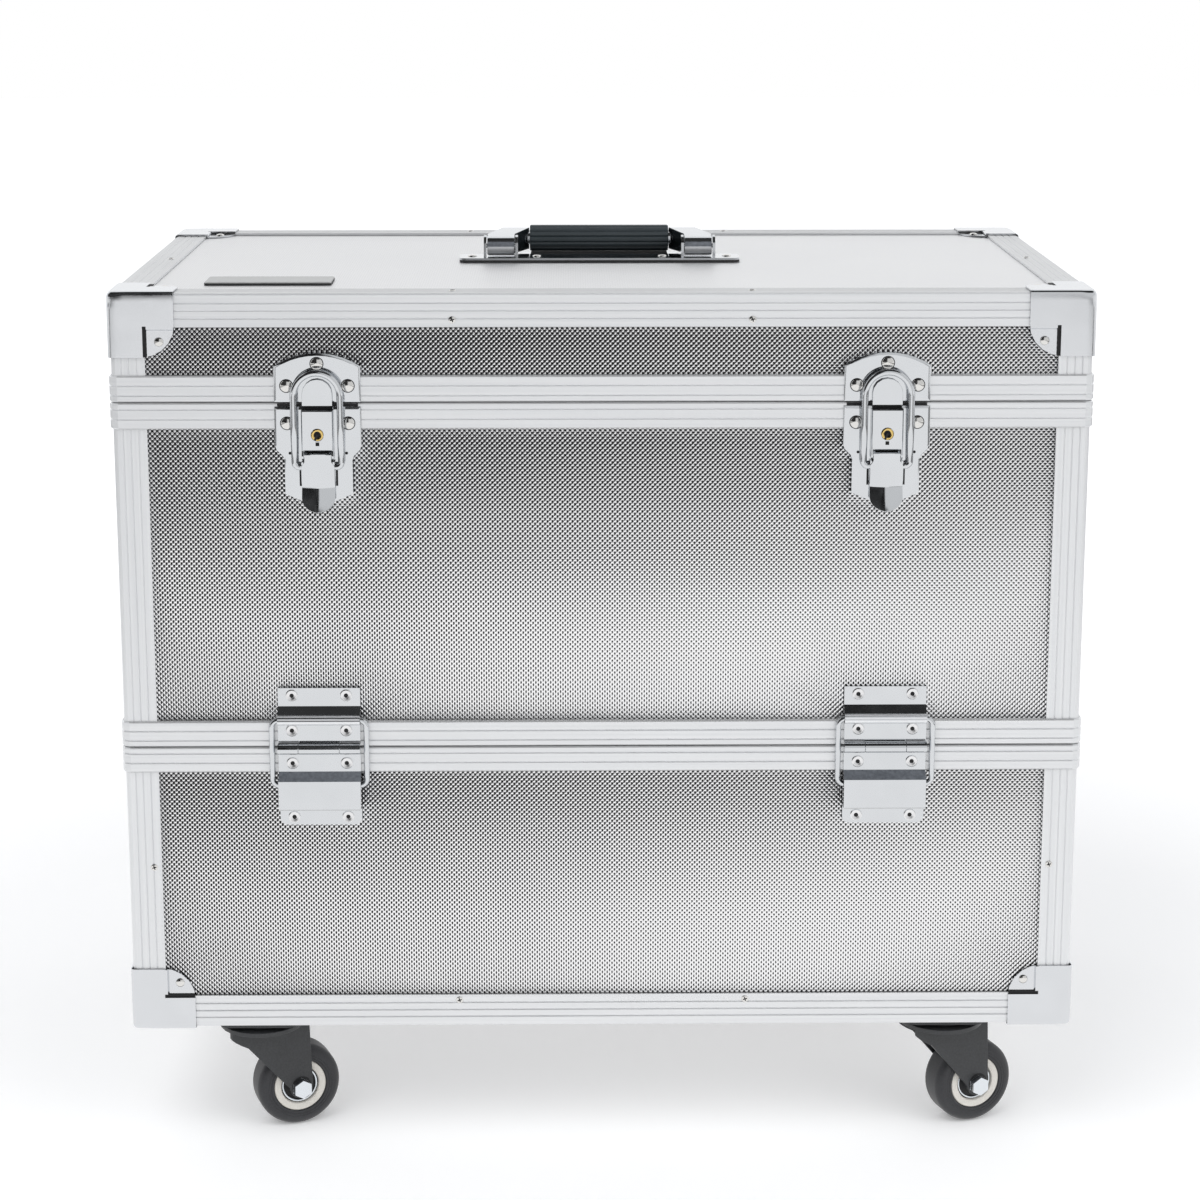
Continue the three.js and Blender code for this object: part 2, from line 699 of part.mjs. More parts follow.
// The lower half of a latch: base plate, lock housing, and two ears that carry the lever.
function latchBase(withLock) {
  const shell = pressed(latchBaseOutline(0), seatGap, latchFront, latchBevelRun, latchBevelDrop, 4);
  const reach = latchHalfWidth + overrun;
  const overRim = block(both(reach), [-latchBack, reach], [-rimHeight - seatGap, reach]);
  const hollow = plate(latchBaseOutline(latchSkin), -overrun, latchBack, 4);
  const box = polygon([
    [-housingHalfWidth, -housingTop], [housingHalfWidth, -housingTop],
    [housingHalfWidth, -housingFoot], [-housingHalfWidth, -housingFoot],
  ]);
  const housing = pressed(box, latchBack, housingFront, housingBevel, housingBevel);
  const pivot = [leverPivotOut, -leverPivotDrop];
  const earLine = [
    [latchBack, -housingFoot + joinDepth], [housingFront - housingBevel, -housingFoot + joinDepth],
    ...arc(pivot, earRadius, 0, -90, 4), [latchBack, -leverPivotDrop - earRadius],
  ];
  const earSpans = [
    [-housingHalfWidth, earThickness - housingHalfWidth],
    [housingHalfWidth - earThickness, housingHalfWidth],
  ];
  const ears = earSpans.map((span) => profile(polygon(earLine), span));
  const bore = latchPin(leverPivotOut, leverPivotDrop, trunnionRadius + runningGap, reach);
  const body = cut(joined(cut(shell, overRim, hollow), housing, ...ears), bore);
  if (!withLock) return body;
  const well = disc(
    lockRadius + runningGap,
    [housingFront - lockDepth, housingFront + overrun],
    [0, 0, -lockDrop],
    OUT,
    20,
  );
  const half = notchSize / 2;
  const notch = block(
    both(half),
    [-housingFront - overrun, notchDepth - housingFront],
    [-notchDrop - half, half - notchDrop],
  );
  return cut(body, well, notch);
}

// A round pin across the latch, out to a reach on both sides.
function latchPin(out, drop, radius, reach) {
  return disc(radius, both(reach), [0, -out, -drop], RIGHT, 10);
}

function latchLock() {
  const foot = housingFront - lockDepth + seatGap;
  const top = housingFront + lockProud;
  const barrel = disc(lockRadius, [foot, top], [0, 0, -lockDrop], OUT, 20);
  const slot = block(
    both(keySlotWidth / 2),
    [-top - overrun, keySlotDepth - top],
    [-lockDrop - keySlotHeight / 2, keySlotHeight / 2 - lockDrop],
  );
  return cut(barrel, slot);
}

// The lever: a bent strap with two pairs of flanges, the upper pair between the base's ears.
function latchLever() {
  const mid = housingFront - leverSkin / 2;
  const bend = new THREE.QuadraticBezierCurve(
    new THREE.Vector2(mid, -leverBendStart),
    new THREE.Vector2(mid, (-leverBendStart - 2 * leverEnd) / 3),
    new THREE.Vector2(leverReach, -leverEnd),
  );
  const line = [[mid, -leverTop], ...bend.getPoints(4).map(({ x, y }) => [x, y])];
  const outline = new THREE.Shape();
  outline.moveTo(-leverNeckHalfWidth, 0);
  outline.lineTo(leverNeckHalfWidth, 0);
  outline.lineTo(leverNeckHalfWidth, -leverShoulder);
  outline.lineTo(leverHalfWidth, -leverShoulder);
  outline.lineTo(leverHalfWidth, leverHalfWidth - leverEnd);
  outline.absellipse(0, leverHalfWidth - leverEnd, leverHalfWidth, leverHalfWidth + leverSkin, 0, Math.PI, true);
  outline.lineTo(-leverHalfWidth, -leverShoulder);
  outline.lineTo(-leverNeckHalfWidth, -leverShoulder);
  const strap = profile(band(line, leverSkin), both(leverHalfWidth));
  const shaped = strap.intersect(plate(outline, 0, leverReach + overrun, 5));
  const skinBack = mid;
  const neckFlange = [
    [skinBack, -leverTop], [skinBack, -leverShoulder - joinDepth],
    ...arc([leverPivotOut, -leverPivotDrop], leverEyeRadius, -90, -270, 4),
  ];
  const sideFlange = [
    [skinBack, -leverShoulder], [skinBack, -leverFlangeEnd],
    [leverFlangeBack, -leverFlangeTaper], [leverFlangeBack, -leverShoulder],
  ];
  const pairs = [
    [neckFlange, leverNeckHalfWidth],
    [sideFlange, leverHalfWidth],
  ];
  const flanges = pairs.flatMap(([points, half]) => [
    profile(polygon(points), [-half, leverSkin - half]),
    profile(polygon(points), [half - leverSkin, half]),
  ]);
  const trunnion = latchPin(leverPivotOut, leverPivotDrop, trunnionRadius, housingHalfWidth);
  const holeRadius = bailRadius + runningGap;
  const holes = [1, -1].map((side) =>
    disc(
      holeRadius,
      [leverHalfWidth - leverSkin - runningGap, leverHalfWidth + overrun],
      [0, -bailPivotOut, -bailPivotDrop],
      RIGHT.clone().multiplyScalar(side),
      10,
    ),
  );
  return cut(joined(shaped, ...flanges, trunnion), ...holes);
}

// The wire bail: a bow that passes over the hook, with its ends turned into the lever.
function latchBail() {
  const end = leverHalfWidth - bailEndHold;
  const turn = arc([bailHalfWidth - bailBend, bailBend - bailPivotDrop], bailBend, -90, 0, 2);
  const bow = arc([0, bailBowDrop], bailHalfWidth, 0, 90, 4);
  const half = [
    [end, -bailPivotOut, -bailPivotDrop],
    ...turn.map(([x, z]) => [x, -bailPivotOut, z]),
    [bailHalfWidth, -bailPivotOut, -bailLegStart],
    [bailHalfWidth, -bailOut, -bailLegEnd],
    ...bow.map(([x, z]) => [x, -bailOut, z]),
  ];
  const mirrored = half.slice(0, -1).map(([x, y, z]) => [-x, y, z]).reverse();
  return wire([...half, ...mirrored], bailRadius);
}

// Handle, in a frame with its origin on the lid panel under the pivot line
const handlePlateTop = seatGap + handlePlateThickness;
const handlePivotLevel = handlePlateTop + handlePivotHeight;

function handlePlate() {
  const outline = roundedRectangle(handlePlateLength / 2, handlePlateWidth / 2, handlePlateCorner);
  const strip = prism(outline, [RIGHT, BACK, UP], seatGap, handlePlateTop, 4);
  const foot = handlePlateTop - joinDepth;
  const cheek = [
    [bracketRadius, foot], ...arc([0, handlePivotLevel], bracketRadius, 0, 180, 6), [-bracketRadius, foot],
  ];
  const spans = [
    [bracketInner, bracketInner + bracketWall],
    [bracketOuter - bracketWall, bracketOuter],
  ].flatMap(([from, to]) => [[from, to], [-to, -from]]);
  const cheeks = spans.map((span) => profile(polygon(cheek), span));
  const pins = [1, -1].map((side) =>
    disc(
      trunnionRadius,
      [bracketInner + bracketWall / 2, bracketOuter - bracketWall / 2],
      [0, 0, handlePivotLevel],
      RIGHT.clone().multiplyScalar(side),
      12,
    ),
  );
  return joined(strip, ...cheeks, ...pins);
}

// Two arms joined by the rod that runs through the grip, folded back onto the lid.
function handleFrame() {
  const inner = bracketInner + bracketWall + sideGap;
  const outer = bracketOuter - bracketWall - sideGap;
  const front = -armHubRadius - overrun;
  const end = armReach + armEndRadius;
  const plan = [
    [inner, front], [outer, front], [outer, armNeck], [outer - armShift, armReach],
    [outer - armShift, end], [inner - armShift, end], [inner - armShift, armReach], [inner, armNeck],
  ];
  const level = handlePivotLevel;
  const gripLevel = level + armRise;
  const flank = [
    ...arc([0, level], armHubRadius, -90, 90, 6),
    ...arc([-armReach, gripLevel], armEndRadius, 90, 270, 6),
  ];
  const top = level + armRise + armEndRadius + overrun;
  const bore = disc(trunnionRadius + runningGap, both(bracketOuter), [0, 0, level], RIGHT, 12);
  const arms = [1, -1].map((sign) => {
    const outline = polygon(plan.map(([x, y]) => [sign * x, y]));
    const bar = prism(outline, [RIGHT, BACK, UP], 0, top);
    return bar.intersect(profile(polygon(flank), both(bracketOuter)));
  });
  const rod = disc(
    gripRodRadius,
    both(inner - armShift + joinDepth),
    [0, armReach, gripLevel],
    RIGHT,
    16,
  );
  return joined(...arms.map((arm) => cut(arm, bore)), rod);
}

function handleGrip() {
  const steps = 3 * gripRibCount;
  const outline = new THREE.Shape(
    Array.from({ length: steps }, (_, i) => {
      const angle = (2 * Math.PI * i) / steps;
      const radius = gripRadius - (i % 3 === 0 ? gripRibDepth : 0);
      return new THREE.Vector2(radius * Math.cos(angle), radius * Math.sin(angle));
    }),
  );
  const bar = profile(outline, both(gripHalfLength));
  const bore = disc(gripRodRadius + seatGap, both(gripHalfLength + overrun), [0, 0, 0], RIGHT, 16);
  return cut(bar, bore).translate([0, armReach, handlePivotLevel + armRise]);
}

// Casters, in a frame with its origin on the swivel axis at the underside of the case
const racewayFoot = -seatGap - casterPlateThickness - racewayHeight;
const crownTop = racewayFoot - seatGap;
const crownFoot = crownTop - crownThickness;
const axleLevel = wheelRadius - caseLift;
const forkInner = wheelWidth / 2 + sideGap;

function casterPlate() {
  const outline = roundedRectangle(casterPlateSize / 2, casterPlateSize / 2, casterPlateCorner);
  const top = prism(outline, [RIGHT, BACK, UP], racewayFoot + racewayHeight, -seatGap, 2);
  const raceway = disc(racewayRadius, [racewayFoot, racewayFoot + racewayHeight + joinDepth], [0, 0, 0], UP, 20);
  const headTop = crownFoot - seatGap;
  const pin = disc(kingpinRadius, [headTop - joinDepth, racewayFoot + joinDepth], [0, 0, 0], UP, 12);
  const head = disc(kingpinHead, [headTop - kingpinHeadHeight, headTop], [0, 0, 0], UP, 12);
  return joined(top, raceway, pin, head);
}

// The fork: a round crown with a skirt, two legs that lean back to the axle, and the axle bolt.
function casterFork() {
  const crown = disc(crownRadius, [crownFoot, crownTop], [0, 0, 0], UP, 24);
  const bore = disc(kingpinRadius + runningGap, [crownFoot - overrun, crownTop + overrun], [0, 0, 0], UP, 12);
  const toe = forkToeShare * crownRadius;
  const leg = new THREE.Shape();
  leg.moveTo(-crownRadius, crownTop);
  leg.lineTo(crownRadius, crownTop);
  leg.lineTo(forkTrail + toe, axleLevel);
  leg.absarc(forkTrail, axleLevel, toe, 0, -Math.PI, true);
  leg.lineTo(-forkShoulder, crownTop - forkHeel);
  leg.quadraticCurveTo(-crownRadius, crownTop - forkHeel / 2, -crownRadius, crownTop);
  const sides = [-forkInner - forkSkin, forkInner].map((from) => {
    const side = prism(leg, [RIGHT, UP, BACK], from, from + forkSkin, 6);
    const round = disc(crownRadius, [axleLevel - overrun - toe, crownTop], [0, 0, 0], UP, 24);
    const tail = block([0, forkTrail + toe + overrun], both(crownRadius), [axleLevel - toe - overrun, crownTop]);
    return side.intersect(joined(round, tail));
  });
  const reach = forkInner + forkSkin;
  const bolt = disc(axleRadius, [-reach - joinDepth, reach + joinDepth], [forkTrail, 0, axleLevel], BACK, 12);
  const hexRadius = boltFlats / 2 / Math.cos(Math.PI / 6);
  const heads = [[-reach - boltHeadHeight, -reach + joinDepth / 2], [reach - joinDepth / 2, reach + boltHeadHeight]];
  return joined(
    cut(crown, bore),
    ...sides,
    bolt,
    ...heads.map((span) => disc(hexRadius, span, [forkTrail, 0, axleLevel], BACK, 6)),
  );
}

function casterWheel() {
  const half = wheelWidth / 2;
  const dish = half - hubDish;
  const side = [
    [axleRadius + runningGap, half], [bossRadius, half], [bossRadius, dish], [hubRadius - hubRim, dish],
    [hubRadius, half],
    ...arc([wheelRadius - treadRound, half - treadRound], treadRound, 90, 0, 2),
  ];
  const mirrored = side.map(([r, w]) => [r, -w]).reverse();
  const section = [...side, ...mirrored, side[0]].map(([r, w]) => new THREE.Vector2(r, w));
  const turned = solidOf(new THREE.LatheGeometry(section, 20));
  return turned.translate([forkTrail, 0, axleLevel]);
}

// Assembly
const sewingCase = new THREE.Group();
const place = (parent, x, y, z, turn = 0) => {
  const group = new THREE.Group();
  group.position.set(x, y, z);
  group.rotation.z = THREE.MathUtils.degToRad(turn);
  parent.add(group);
  return group;
};

sewingCase.add(meshOf("base_floor", baseFloor(), laminate));
sewingCase.add(meshOf("base_walls", walls(caseLift + angleOut, lowerSeam - rimSeat), laminate));
sewingCase.add(meshOf("base_frame", baseFrame(), aluminium));
sewingCase.add(meshOf("middle_walls", walls(lowerSeam + rimSeat, upperSeam - rimSeat), laminate));
sewingCase.add(meshOf("middle_frame", middleFrame(), aluminium));
sewingCase.add(meshOf("lid_shell", walls(upperSeam + rimSeat, caseTop - angleOut, true), laminate));
sewingCase.add(meshOf("lid_frame", lidFrame(), aluminium));

const cornerRows = [
  ["base", bottomCornerLevel, 1, () => UP],
  ["lid", topCornerLevel, -1, (sy) => (sy < 0 ? RIGHT : BACK)],
];
for (const [section, level, upward, mainLeg] of cornerRows) {
  for (const [sx, sy] of corners) {
    const name = `${section}_corner_${sy < 0 ? "front" : "rear"}_${sx < 0 ? "left" : "right"}`;
    const corner = meshOf(name, ballCorner(mainLeg(sy)), chrome);
    corner.position.set(sx * (halfWidth + cornerOut), sy * (halfDepth + cornerOut), level);
    corner.scale.set(-sx, -sy, upward);
    sewingCase.add(corner);
  }
}

// The lower seam hinges at the front and latches at the rear, the upper seam the other way round.
const seams = [
  { level: lowerSeam, hingeTurn: 0, hinge: "front_hinge", latch: "rear_latch", withLock: false },
  { level: upperSeam, hingeTurn: halfTurn, hinge: "rear_hinge", latch: "front_latch", withLock: true },
];
for (const { level, hingeTurn, hinge, latch, withLock } of seams) {
  const hingeSide = hingeTurn === 0 ? -1 : 1;
  for (const [side, word] of [[-1, "left"], [1, "right"]]) {
    const hung = place(sewingCase, side * hingeOffset, hingeSide * halfDepth, level, hingeTurn);
    hung.add(meshOf(`${hinge}_upper_leaf_${word}`, hingeUpperLeaf(), chrome));
    hung.add(meshOf(`${hinge}_lower_leaf_${word}`, hingeLowerLeaf(), chrome));
    hung.add(meshOf(`${hinge}_stay_${word}`, hingeStay(), chrome));
    const held = place(sewingCase, side * latchOffset, -hingeSide * halfDepth, level, halfTurn - hingeTurn);
    held.add(meshOf(`${latch}_strike_${word}`, latchStrike(), chrome));
    held.add(meshOf(`${latch}_base_${word}`, latchBase(withLock), chrome));
    held.add(meshOf(`${latch}_lever_${word}`, latchLever(), chrome));
    held.add(meshOf(`${latch}_bail_${word}`, latchBail(), chrome));
    if (withLock) held.add(meshOf(`${latch}_lock_${word}`, latchLock(), brass));
  }
}

const handle = place(sewingCase, 0, handleSetback, caseTop - angleOut);
handle.add(meshOf("handle_plate", handlePlate(), chrome));
handle.add(meshOf("handle_frame", handleFrame(), chrome));
handle.add(meshOf("handle_grip", handleGrip(), gripPlastic));

for (const [sx, sy] of corners) {
  const word = `${sy < 0 ? "front" : "rear"}_${sx < 0 ? "left" : "right"}`;
  const mount = place(sewingCase, sx * casterOffset, sy * (halfDepth - casterInset), caseLift);
  mount.add(meshOf(`caster_plate_${word}`, casterPlate(), blackSteel));
  const swivel = place(mount, 0, 0, 0, casterTurn);
  swivel.add(meshOf(`caster_fork_${word}`, casterFork(), blackSteel));
  swivel.add(meshOf(`caster_wheel_${word}`, casterWheel(), tyre));
}

export default sewingCase;
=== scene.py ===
"""The looks of the sewing machine case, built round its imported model. Metres, +Z up."""

import json
import math

import bmesh
import bpy
from mathutils import Matrix, Vector

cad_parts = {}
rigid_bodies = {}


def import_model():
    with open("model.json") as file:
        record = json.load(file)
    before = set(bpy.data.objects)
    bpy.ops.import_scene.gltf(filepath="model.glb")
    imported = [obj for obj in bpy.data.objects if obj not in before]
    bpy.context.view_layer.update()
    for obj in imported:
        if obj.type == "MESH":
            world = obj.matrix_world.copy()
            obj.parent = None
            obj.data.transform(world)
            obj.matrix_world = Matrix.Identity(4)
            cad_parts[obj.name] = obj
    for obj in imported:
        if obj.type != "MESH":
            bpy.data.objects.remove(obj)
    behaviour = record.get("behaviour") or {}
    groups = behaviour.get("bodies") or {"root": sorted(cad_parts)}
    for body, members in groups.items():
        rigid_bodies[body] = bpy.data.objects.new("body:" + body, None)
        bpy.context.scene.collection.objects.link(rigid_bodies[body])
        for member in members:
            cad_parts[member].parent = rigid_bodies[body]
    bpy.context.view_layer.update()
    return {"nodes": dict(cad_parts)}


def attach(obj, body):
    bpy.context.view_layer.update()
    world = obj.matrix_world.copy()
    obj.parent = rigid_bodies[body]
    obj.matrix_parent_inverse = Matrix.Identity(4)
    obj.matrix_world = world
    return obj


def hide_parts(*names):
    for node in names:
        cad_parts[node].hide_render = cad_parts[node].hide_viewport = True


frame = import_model()
nodes = frame["nodes"]

MM = 0.001
SIDES = (("left", -1), ("right", 1))
CORNERS = [(f"{end}_{side}", sx, sy) for end, sy in (("front", -1), ("rear", 1)) for side, sx in SIDES]

# Looking out of a fitting's face, along -Y of its own frame
OUTWARD = Matrix.Rotation(math.pi / 2, 4, "X")

# Places in the model, in millimetres, as the solids have them. The rails end at FOOT_RAIL and
# HEAD_RAIL and lie within SEAM_RAIL of a seam, and the lid's side legs start at TOP_LEG across.
HALF_WIDTH = 270.5
HALF_DEPTH = 150.5
LOWER_SEAM = 243.0
UPPER_SEAM = 442.0
FOOT_RAIL = 92.2
HEAD_RAIL = 483.8
SEAM_RAIL = 15.2
TOP_LEG = 249.0
ANGLE_OUT = 1.6
ANGLE_TOP = 503.0
CORNER_OUT = 2.8
CORNER_BOTTOM = 71.8
CORNER_TOP = 504.2
LID_PANEL = 501.4
PANEL_MIDDLES = (160.0, 342.5, 470.5)
LINING_HALVES = (265.2, 145.2)
LINING_LEVELS = (77.5, 496.0)
HINGE_ACROSS = 161.0
LATCH_ACROSS = 158.0
CASTER_ACROSS = 201.0
CASTER_BACK = 125.5
CASTER_LEVEL = 73.0
CASTER_TURN = 21.0
AXLE_TRAIL = 19.5
AXLE_DROP = 48.0

# Fittings on each seam: the start of the hinges' and of the latches' node names, the bodies below
# and above it, its level, and the side its hinges are on
SEAMS = (
    ("front_hinge", "rear_latch", "base", "middle", LOWER_SEAM, -1),
    ("rear_hinge", "front_latch", "middle", "lid", UPPER_SEAM, 1),
)

# The handle's plate, its rounded rim, and the hubs round its pivot
RIM_FOOT = LID_PANEL + 0.3
RIM_LEVEL = LID_PANEL + 1.6
HUB_FRONT = -0.5
HUB_FOOT = 505.2
PIVOT_LEVEL = 510.7
HUB_HEAD = PIVOT_LEVEL + 3.0

# The slanted step of a hinge's pocket, from the seam
STEP_FOOT = -19.0
STEP_HEAD = -14.6

# The foil's pressing: the pitch in metres, its steepest slope, and how far the panels bow
FOIL_PITCH = 0.0028
FOIL_SLOPE = 0.60
FOIL_SLOPE_TOP = 0.25 * FOIL_SLOPE
FOIL_BOW_ACROSS = 0.28 / 0.253
FOIL_BOW_UP = 0.25 / 0.0845
FOIL_BOW_LID = 0.25
FOIL_BOW_TOP = 0.1

# The foil's hollows, painted near black as shade: where that shade begins, how that changes across a
# panel, its edge and depth
PIT_BRIM = -0.27
PIT_BRIM_ACROSS = -0.4
PIT_EDGE = 0.12
PIT_DEPTH = 0.97
PIT_DEPTH_TOP = 0.22
FOIL_BRIGHT = (0.985, 0.985, 0.99)
FOIL_DULL = (0.955, 0.955, 0.965)
# Near black of the painted shade in the hollows
FOIL_PIT_SHADE = (0.03, 0.03, 0.032, 1)

# A face looks along an axis when this much of its normal does
SQUARE = 0.7
ONES = (1.0, 1.0, 1.0)


# Shader graphs
class Graph:
    """A material's node tree, with short ways to add and join nodes."""

    def __init__(self, name):
        self.material = bpy.data.materials.new(name)
        self.material.use_nodes = True
        self.tree = self.material.node_tree
        self.shader = self.tree.nodes["Principled BSDF"]
        coordinates = self.tree.nodes.new("ShaderNodeTexCoord").outputs
        self.point = coordinates["Object"]
        self.facing = coordinates["Normal"]

    def feed(self, value, socket):
        if isinstance(value, bpy.types.NodeSocket):
            self.tree.links.new(value, socket)
        else:
            socket.default_value = value

    def node(self, kind, output, sockets, **settings):
        node = self.tree.nodes.new(kind)
        for key, value in settings.items():
            setattr(node, key, value)
        for key, value in sockets.items():
            self.feed(value, node.inputs[key])
        return node.outputs[output]

    def math(self, operation, *values):
        return self.node("ShaderNodeMath", 0, dict(enumerate(values)), operation=operation)

    def vector(self, operation, *values, scale=None):
        sockets = dict(enumerate(values))
        if scale is not None:
            sockets["Scale"] = scale
        return self.node("ShaderNodeVectorMath", 0, sockets, operation=operation)

    def parts(self, vector):
        return [self.node("ShaderNodeSeparateXYZ", i, {"Vector": vector}) for i in range(3)]

    def joined(self, *values):
        return self.node("ShaderNodeCombineXYZ", 0, dict(enumerate(values)))

    def noise(self, scale, detail=3.0, vector=None):
        sockets = {"Vector": vector or self.point, "Scale": scale, "Detail": detail}
        return self.node("ShaderNodeTexNoise", "Fac", sockets)

    def span(self, value, low, high, to_low=0.0, to_high=1.0):
        sockets = {"Value": value, "From Min": low, "From Max": high, "To Min": to_low, "To Max": to_high}
        return self.node("ShaderNodeMapRange", "Result", sockets)

    def ramp(self, value, *stops):
        node = self.tree.nodes.new("ShaderNodeValToRGB")
        self.feed(value, node.inputs["Fac"])
        elements = node.color_ramp.elements
        while len(elements) < len(stops):
            elements.new(0.5)
        for element, (place, color) in zip(elements, stops):
            element.position = place
            element.color = (*color, 1.0)
        return node.outputs["Color"]

    def mix(self, share, first, second, kind="FLOAT"):
        node = self.tree.nodes.new("ShaderNodeMix")
        node.data_type = kind
        sockets = [socket for socket in node.inputs if socket.enabled]
        for socket, value in zip(sockets, (share, first, second)):
            self.feed(value, socket)
        return next(socket for socket in node.outputs if socket.enabled)

    def bump(self, height, strength, distance):
        sockets = {"Height": height, "Strength": strength, "Distance": distance}
        return self.node("ShaderNodeBump", "Normal", sockets)

    def made(self, **sockets):
        for key, value in sockets.items():
            self.feed(value, self.shader.inputs[key.replace("_", " ")])
        return self.material


def extrusion_material():
    """Satin anodised aluminium, with the fine die lines of each length along it."""
    graph = Graph("aluminium_extrusion")
    x, _, z = graph.parts(graph.point)
    upward = graph.math("GREATER_THAN", graph.math("ABSOLUTE", graph.parts(graph.facing)[2]), SQUARE)
    on_side_leg = graph.math("GREATER_THAN", graph.math("ABSOLUTE", x), MM * TOP_LEG)
    low = graph.math("LESS_THAN", z, MM * FOOT_RAIL)
    high = graph.math("GREATER_THAN", z, MM * HEAD_RAIL)
    seams = [graph.math("COMPARE", z, MM * level, MM * SEAM_RAIL) for level in (LOWER_SEAM, UPPER_SEAM)]
    rail = graph.math("MAXIMUM", graph.math("MAXIMUM", low, high), graph.math("MAXIMUM", *seams))

    # The lines are noise that is fine across a length and long drawn along it
    fine, drawn = 700, 5
    post_lines, rail_lines = (fine, fine, drawn), (drawn, drawn, fine)
    front_lines, side_lines = (drawn, fine, drawn), (fine, drawn, drawn)
    on_top = graph.mix(on_side_leg, front_lines, side_lines, "VECTOR")
    on_side = graph.mix(rail, post_lines, rail_lines, "VECTOR")
    lines = graph.vector("MULTIPLY", graph.point, graph.mix(upward, on_side, on_top, "VECTOR"))
    streak = graph.noise(1.0, 3.0, lines)
    cloud = graph.noise(12.0)
    tone = graph.mix(0.3, streak, cloud)
    # Faces that look up or down get a darker copy of the colour than the upright ones: painted shade
    upright = graph.ramp(tone, (0.3, (0.77, 0.78, 0.795)), (0.7, (0.85, 0.858, 0.866)))
    flat = graph.ramp(tone, (0.3, (0.62, 0.625, 0.63)), (0.7, (0.69, 0.695, 0.70)))
    return graph.made(
        Base_Color=graph.mix(upward, upright, flat, "RGBA"),
        Metallic=0.6,
        Roughness=graph.span(cloud, 0.3, 0.7, 0.34, 0.44),
        Normal=graph.bump(streak, 0.12, 0.0001),
    )


def panel_material():
    """Silver foil pressed in small diamonds outside, charcoal lining inside."""
    graph = Graph("panel_laminate")
    x, y, z = graph.parts(graph.point)

    # Which way a face looks, and the waves of the pressing along its own two axes
    level = graph.vector("ABSOLUTE", graph.facing)
    along = graph.vector("SUBTRACT", ONES, level)
    phase = graph.vector("SCALE", graph.point, scale=2 * math.pi / FOIL_PITCH)
    crest = graph.vector("COSINE", phase)
    waves = graph.vector("MULTIPLY_ADD", along, graph.vector("SUBTRACT", crest, ONES), ONES)
    cx, cy, cz = graph.parts(waves)
    cell = graph.math("MULTIPLY", graph.math("MULTIPLY", cx, cy), cz)
    slope = graph.vector("MULTIPLY", along, graph.vector("SINE", phase))
    for others in ((cy, cz, cx), (cz, cx, cy)):
        slope = graph.vector("MULTIPLY", slope, graph.joined(*others))

    # The pressing of the lid's top is flattened
    top = graph.math("GREATER_THAN", graph.parts(level)[2], SQUARE)
    slope = graph.vector("SCALE", slope, scale=graph.mix(top, FOIL_SLOPE, FOIL_SLOPE_TOP))

    # The panels bow out a little between their frames
    lowest, central, highest = (MM * panel for panel in PANEL_MIDDLES)
    over_lower = graph.math("GREATER_THAN", z, MM * LOWER_SEAM)
    over_upper = graph.math("GREATER_THAN", z, MM * UPPER_SEAM)
    middle = graph.math("MULTIPLY_ADD", over_lower, central - lowest, lowest)
    middle = graph.math("MULTIPLY_ADD", over_upper, highest - central, middle)
    rise = graph.math("MULTIPLY", graph.math("SUBTRACT", z, middle), FOIL_BOW_UP)
    rise = graph.math("MULTIPLY_ADD", over_upper, FOIL_BOW_LID, rise)
    across, back = (graph.math("MULTIPLY", axis, FOIL_BOW_ACROSS) for axis in (x, y))
    bow = graph.vector("MULTIPLY", graph.joined(across, back, rise), along)
    bow = graph.vector("SCALE", bow, scale=graph.mix(top, 1.0, FOIL_BOW_TOP))
    tilted = graph.vector("NORMALIZE", graph.vector("ADD", graph.facing, graph.vector("ADD", slope, bow)))
    turn = {"vector_type": "NORMAL", "convert_from": "OBJECT", "convert_to": "WORLD"}
    pressed = graph.node("ShaderNodeVectorTransform", 0, {0: tilted}, **turn)

    # The painted shade in the hollows is wider high up and to the left, so the panels are painted darker
    # there
    pit_shade_brim = graph.math("ADD", rise, graph.math("MULTIPLY_ADD", x, PIT_BRIM_ACROSS, PIT_BRIM))
    pit_shade = graph.span(graph.math("SUBTRACT", cell, pit_shade_brim), PIT_EDGE, -PIT_EDGE)
    pit_shade = graph.math("MULTIPLY", pit_shade, graph.mix(top, PIT_DEPTH, PIT_DEPTH_TOP))
    cloud = graph.noise(7.0)
    # The hollows are painted near black as shade over the foil's own tone, less on the lid's top
    foil = graph.mix(pit_shade, graph.ramp(cloud, (0.3, FOIL_DULL), (0.7, FOIL_BRIGHT)), FOIL_PIT_SHADE, "RGBA")
    foil_rough = graph.mix(top, graph.span(cloud, 0.3, 0.7, 0.08, 0.12), 0.44)

    # The lining is whatever lies within the panels' inner faces
    sides = [
        graph.math("LESS_THAN", graph.math("ABSOLUTE", axis), MM * half)
        for axis, half in zip((x, y), LINING_HALVES)
    ]
    floor, roof = LINING_LEVELS
    ends = [graph.math("LESS_THAN", z, MM * roof), graph.math("GREATER_THAN", z, MM * floor)]
    inside = graph.math("MULTIPLY", graph.math("MULTIPLY", *sides), graph.math("MULTIPLY", *ends))
    nap = graph.noise(700.0, 4.0)
    lining = graph.ramp(nap, (0.3, (0.030, 0.031, 0.034)), (0.7, (0.075, 0.077, 0.082)))
    napped = graph.bump(graph.noise(1100.0), 0.5, 0.0006)
    return graph.made(
        Base_Color=graph.mix(inside, foil, lining, "RGBA"),
        Metallic=graph.mix(inside, 0.95, 0.0),
        Roughness=graph.mix(inside, foil_rough, 0.9),
        Normal=graph.mix(inside, pressed, napped, "VECTOR"),
    )


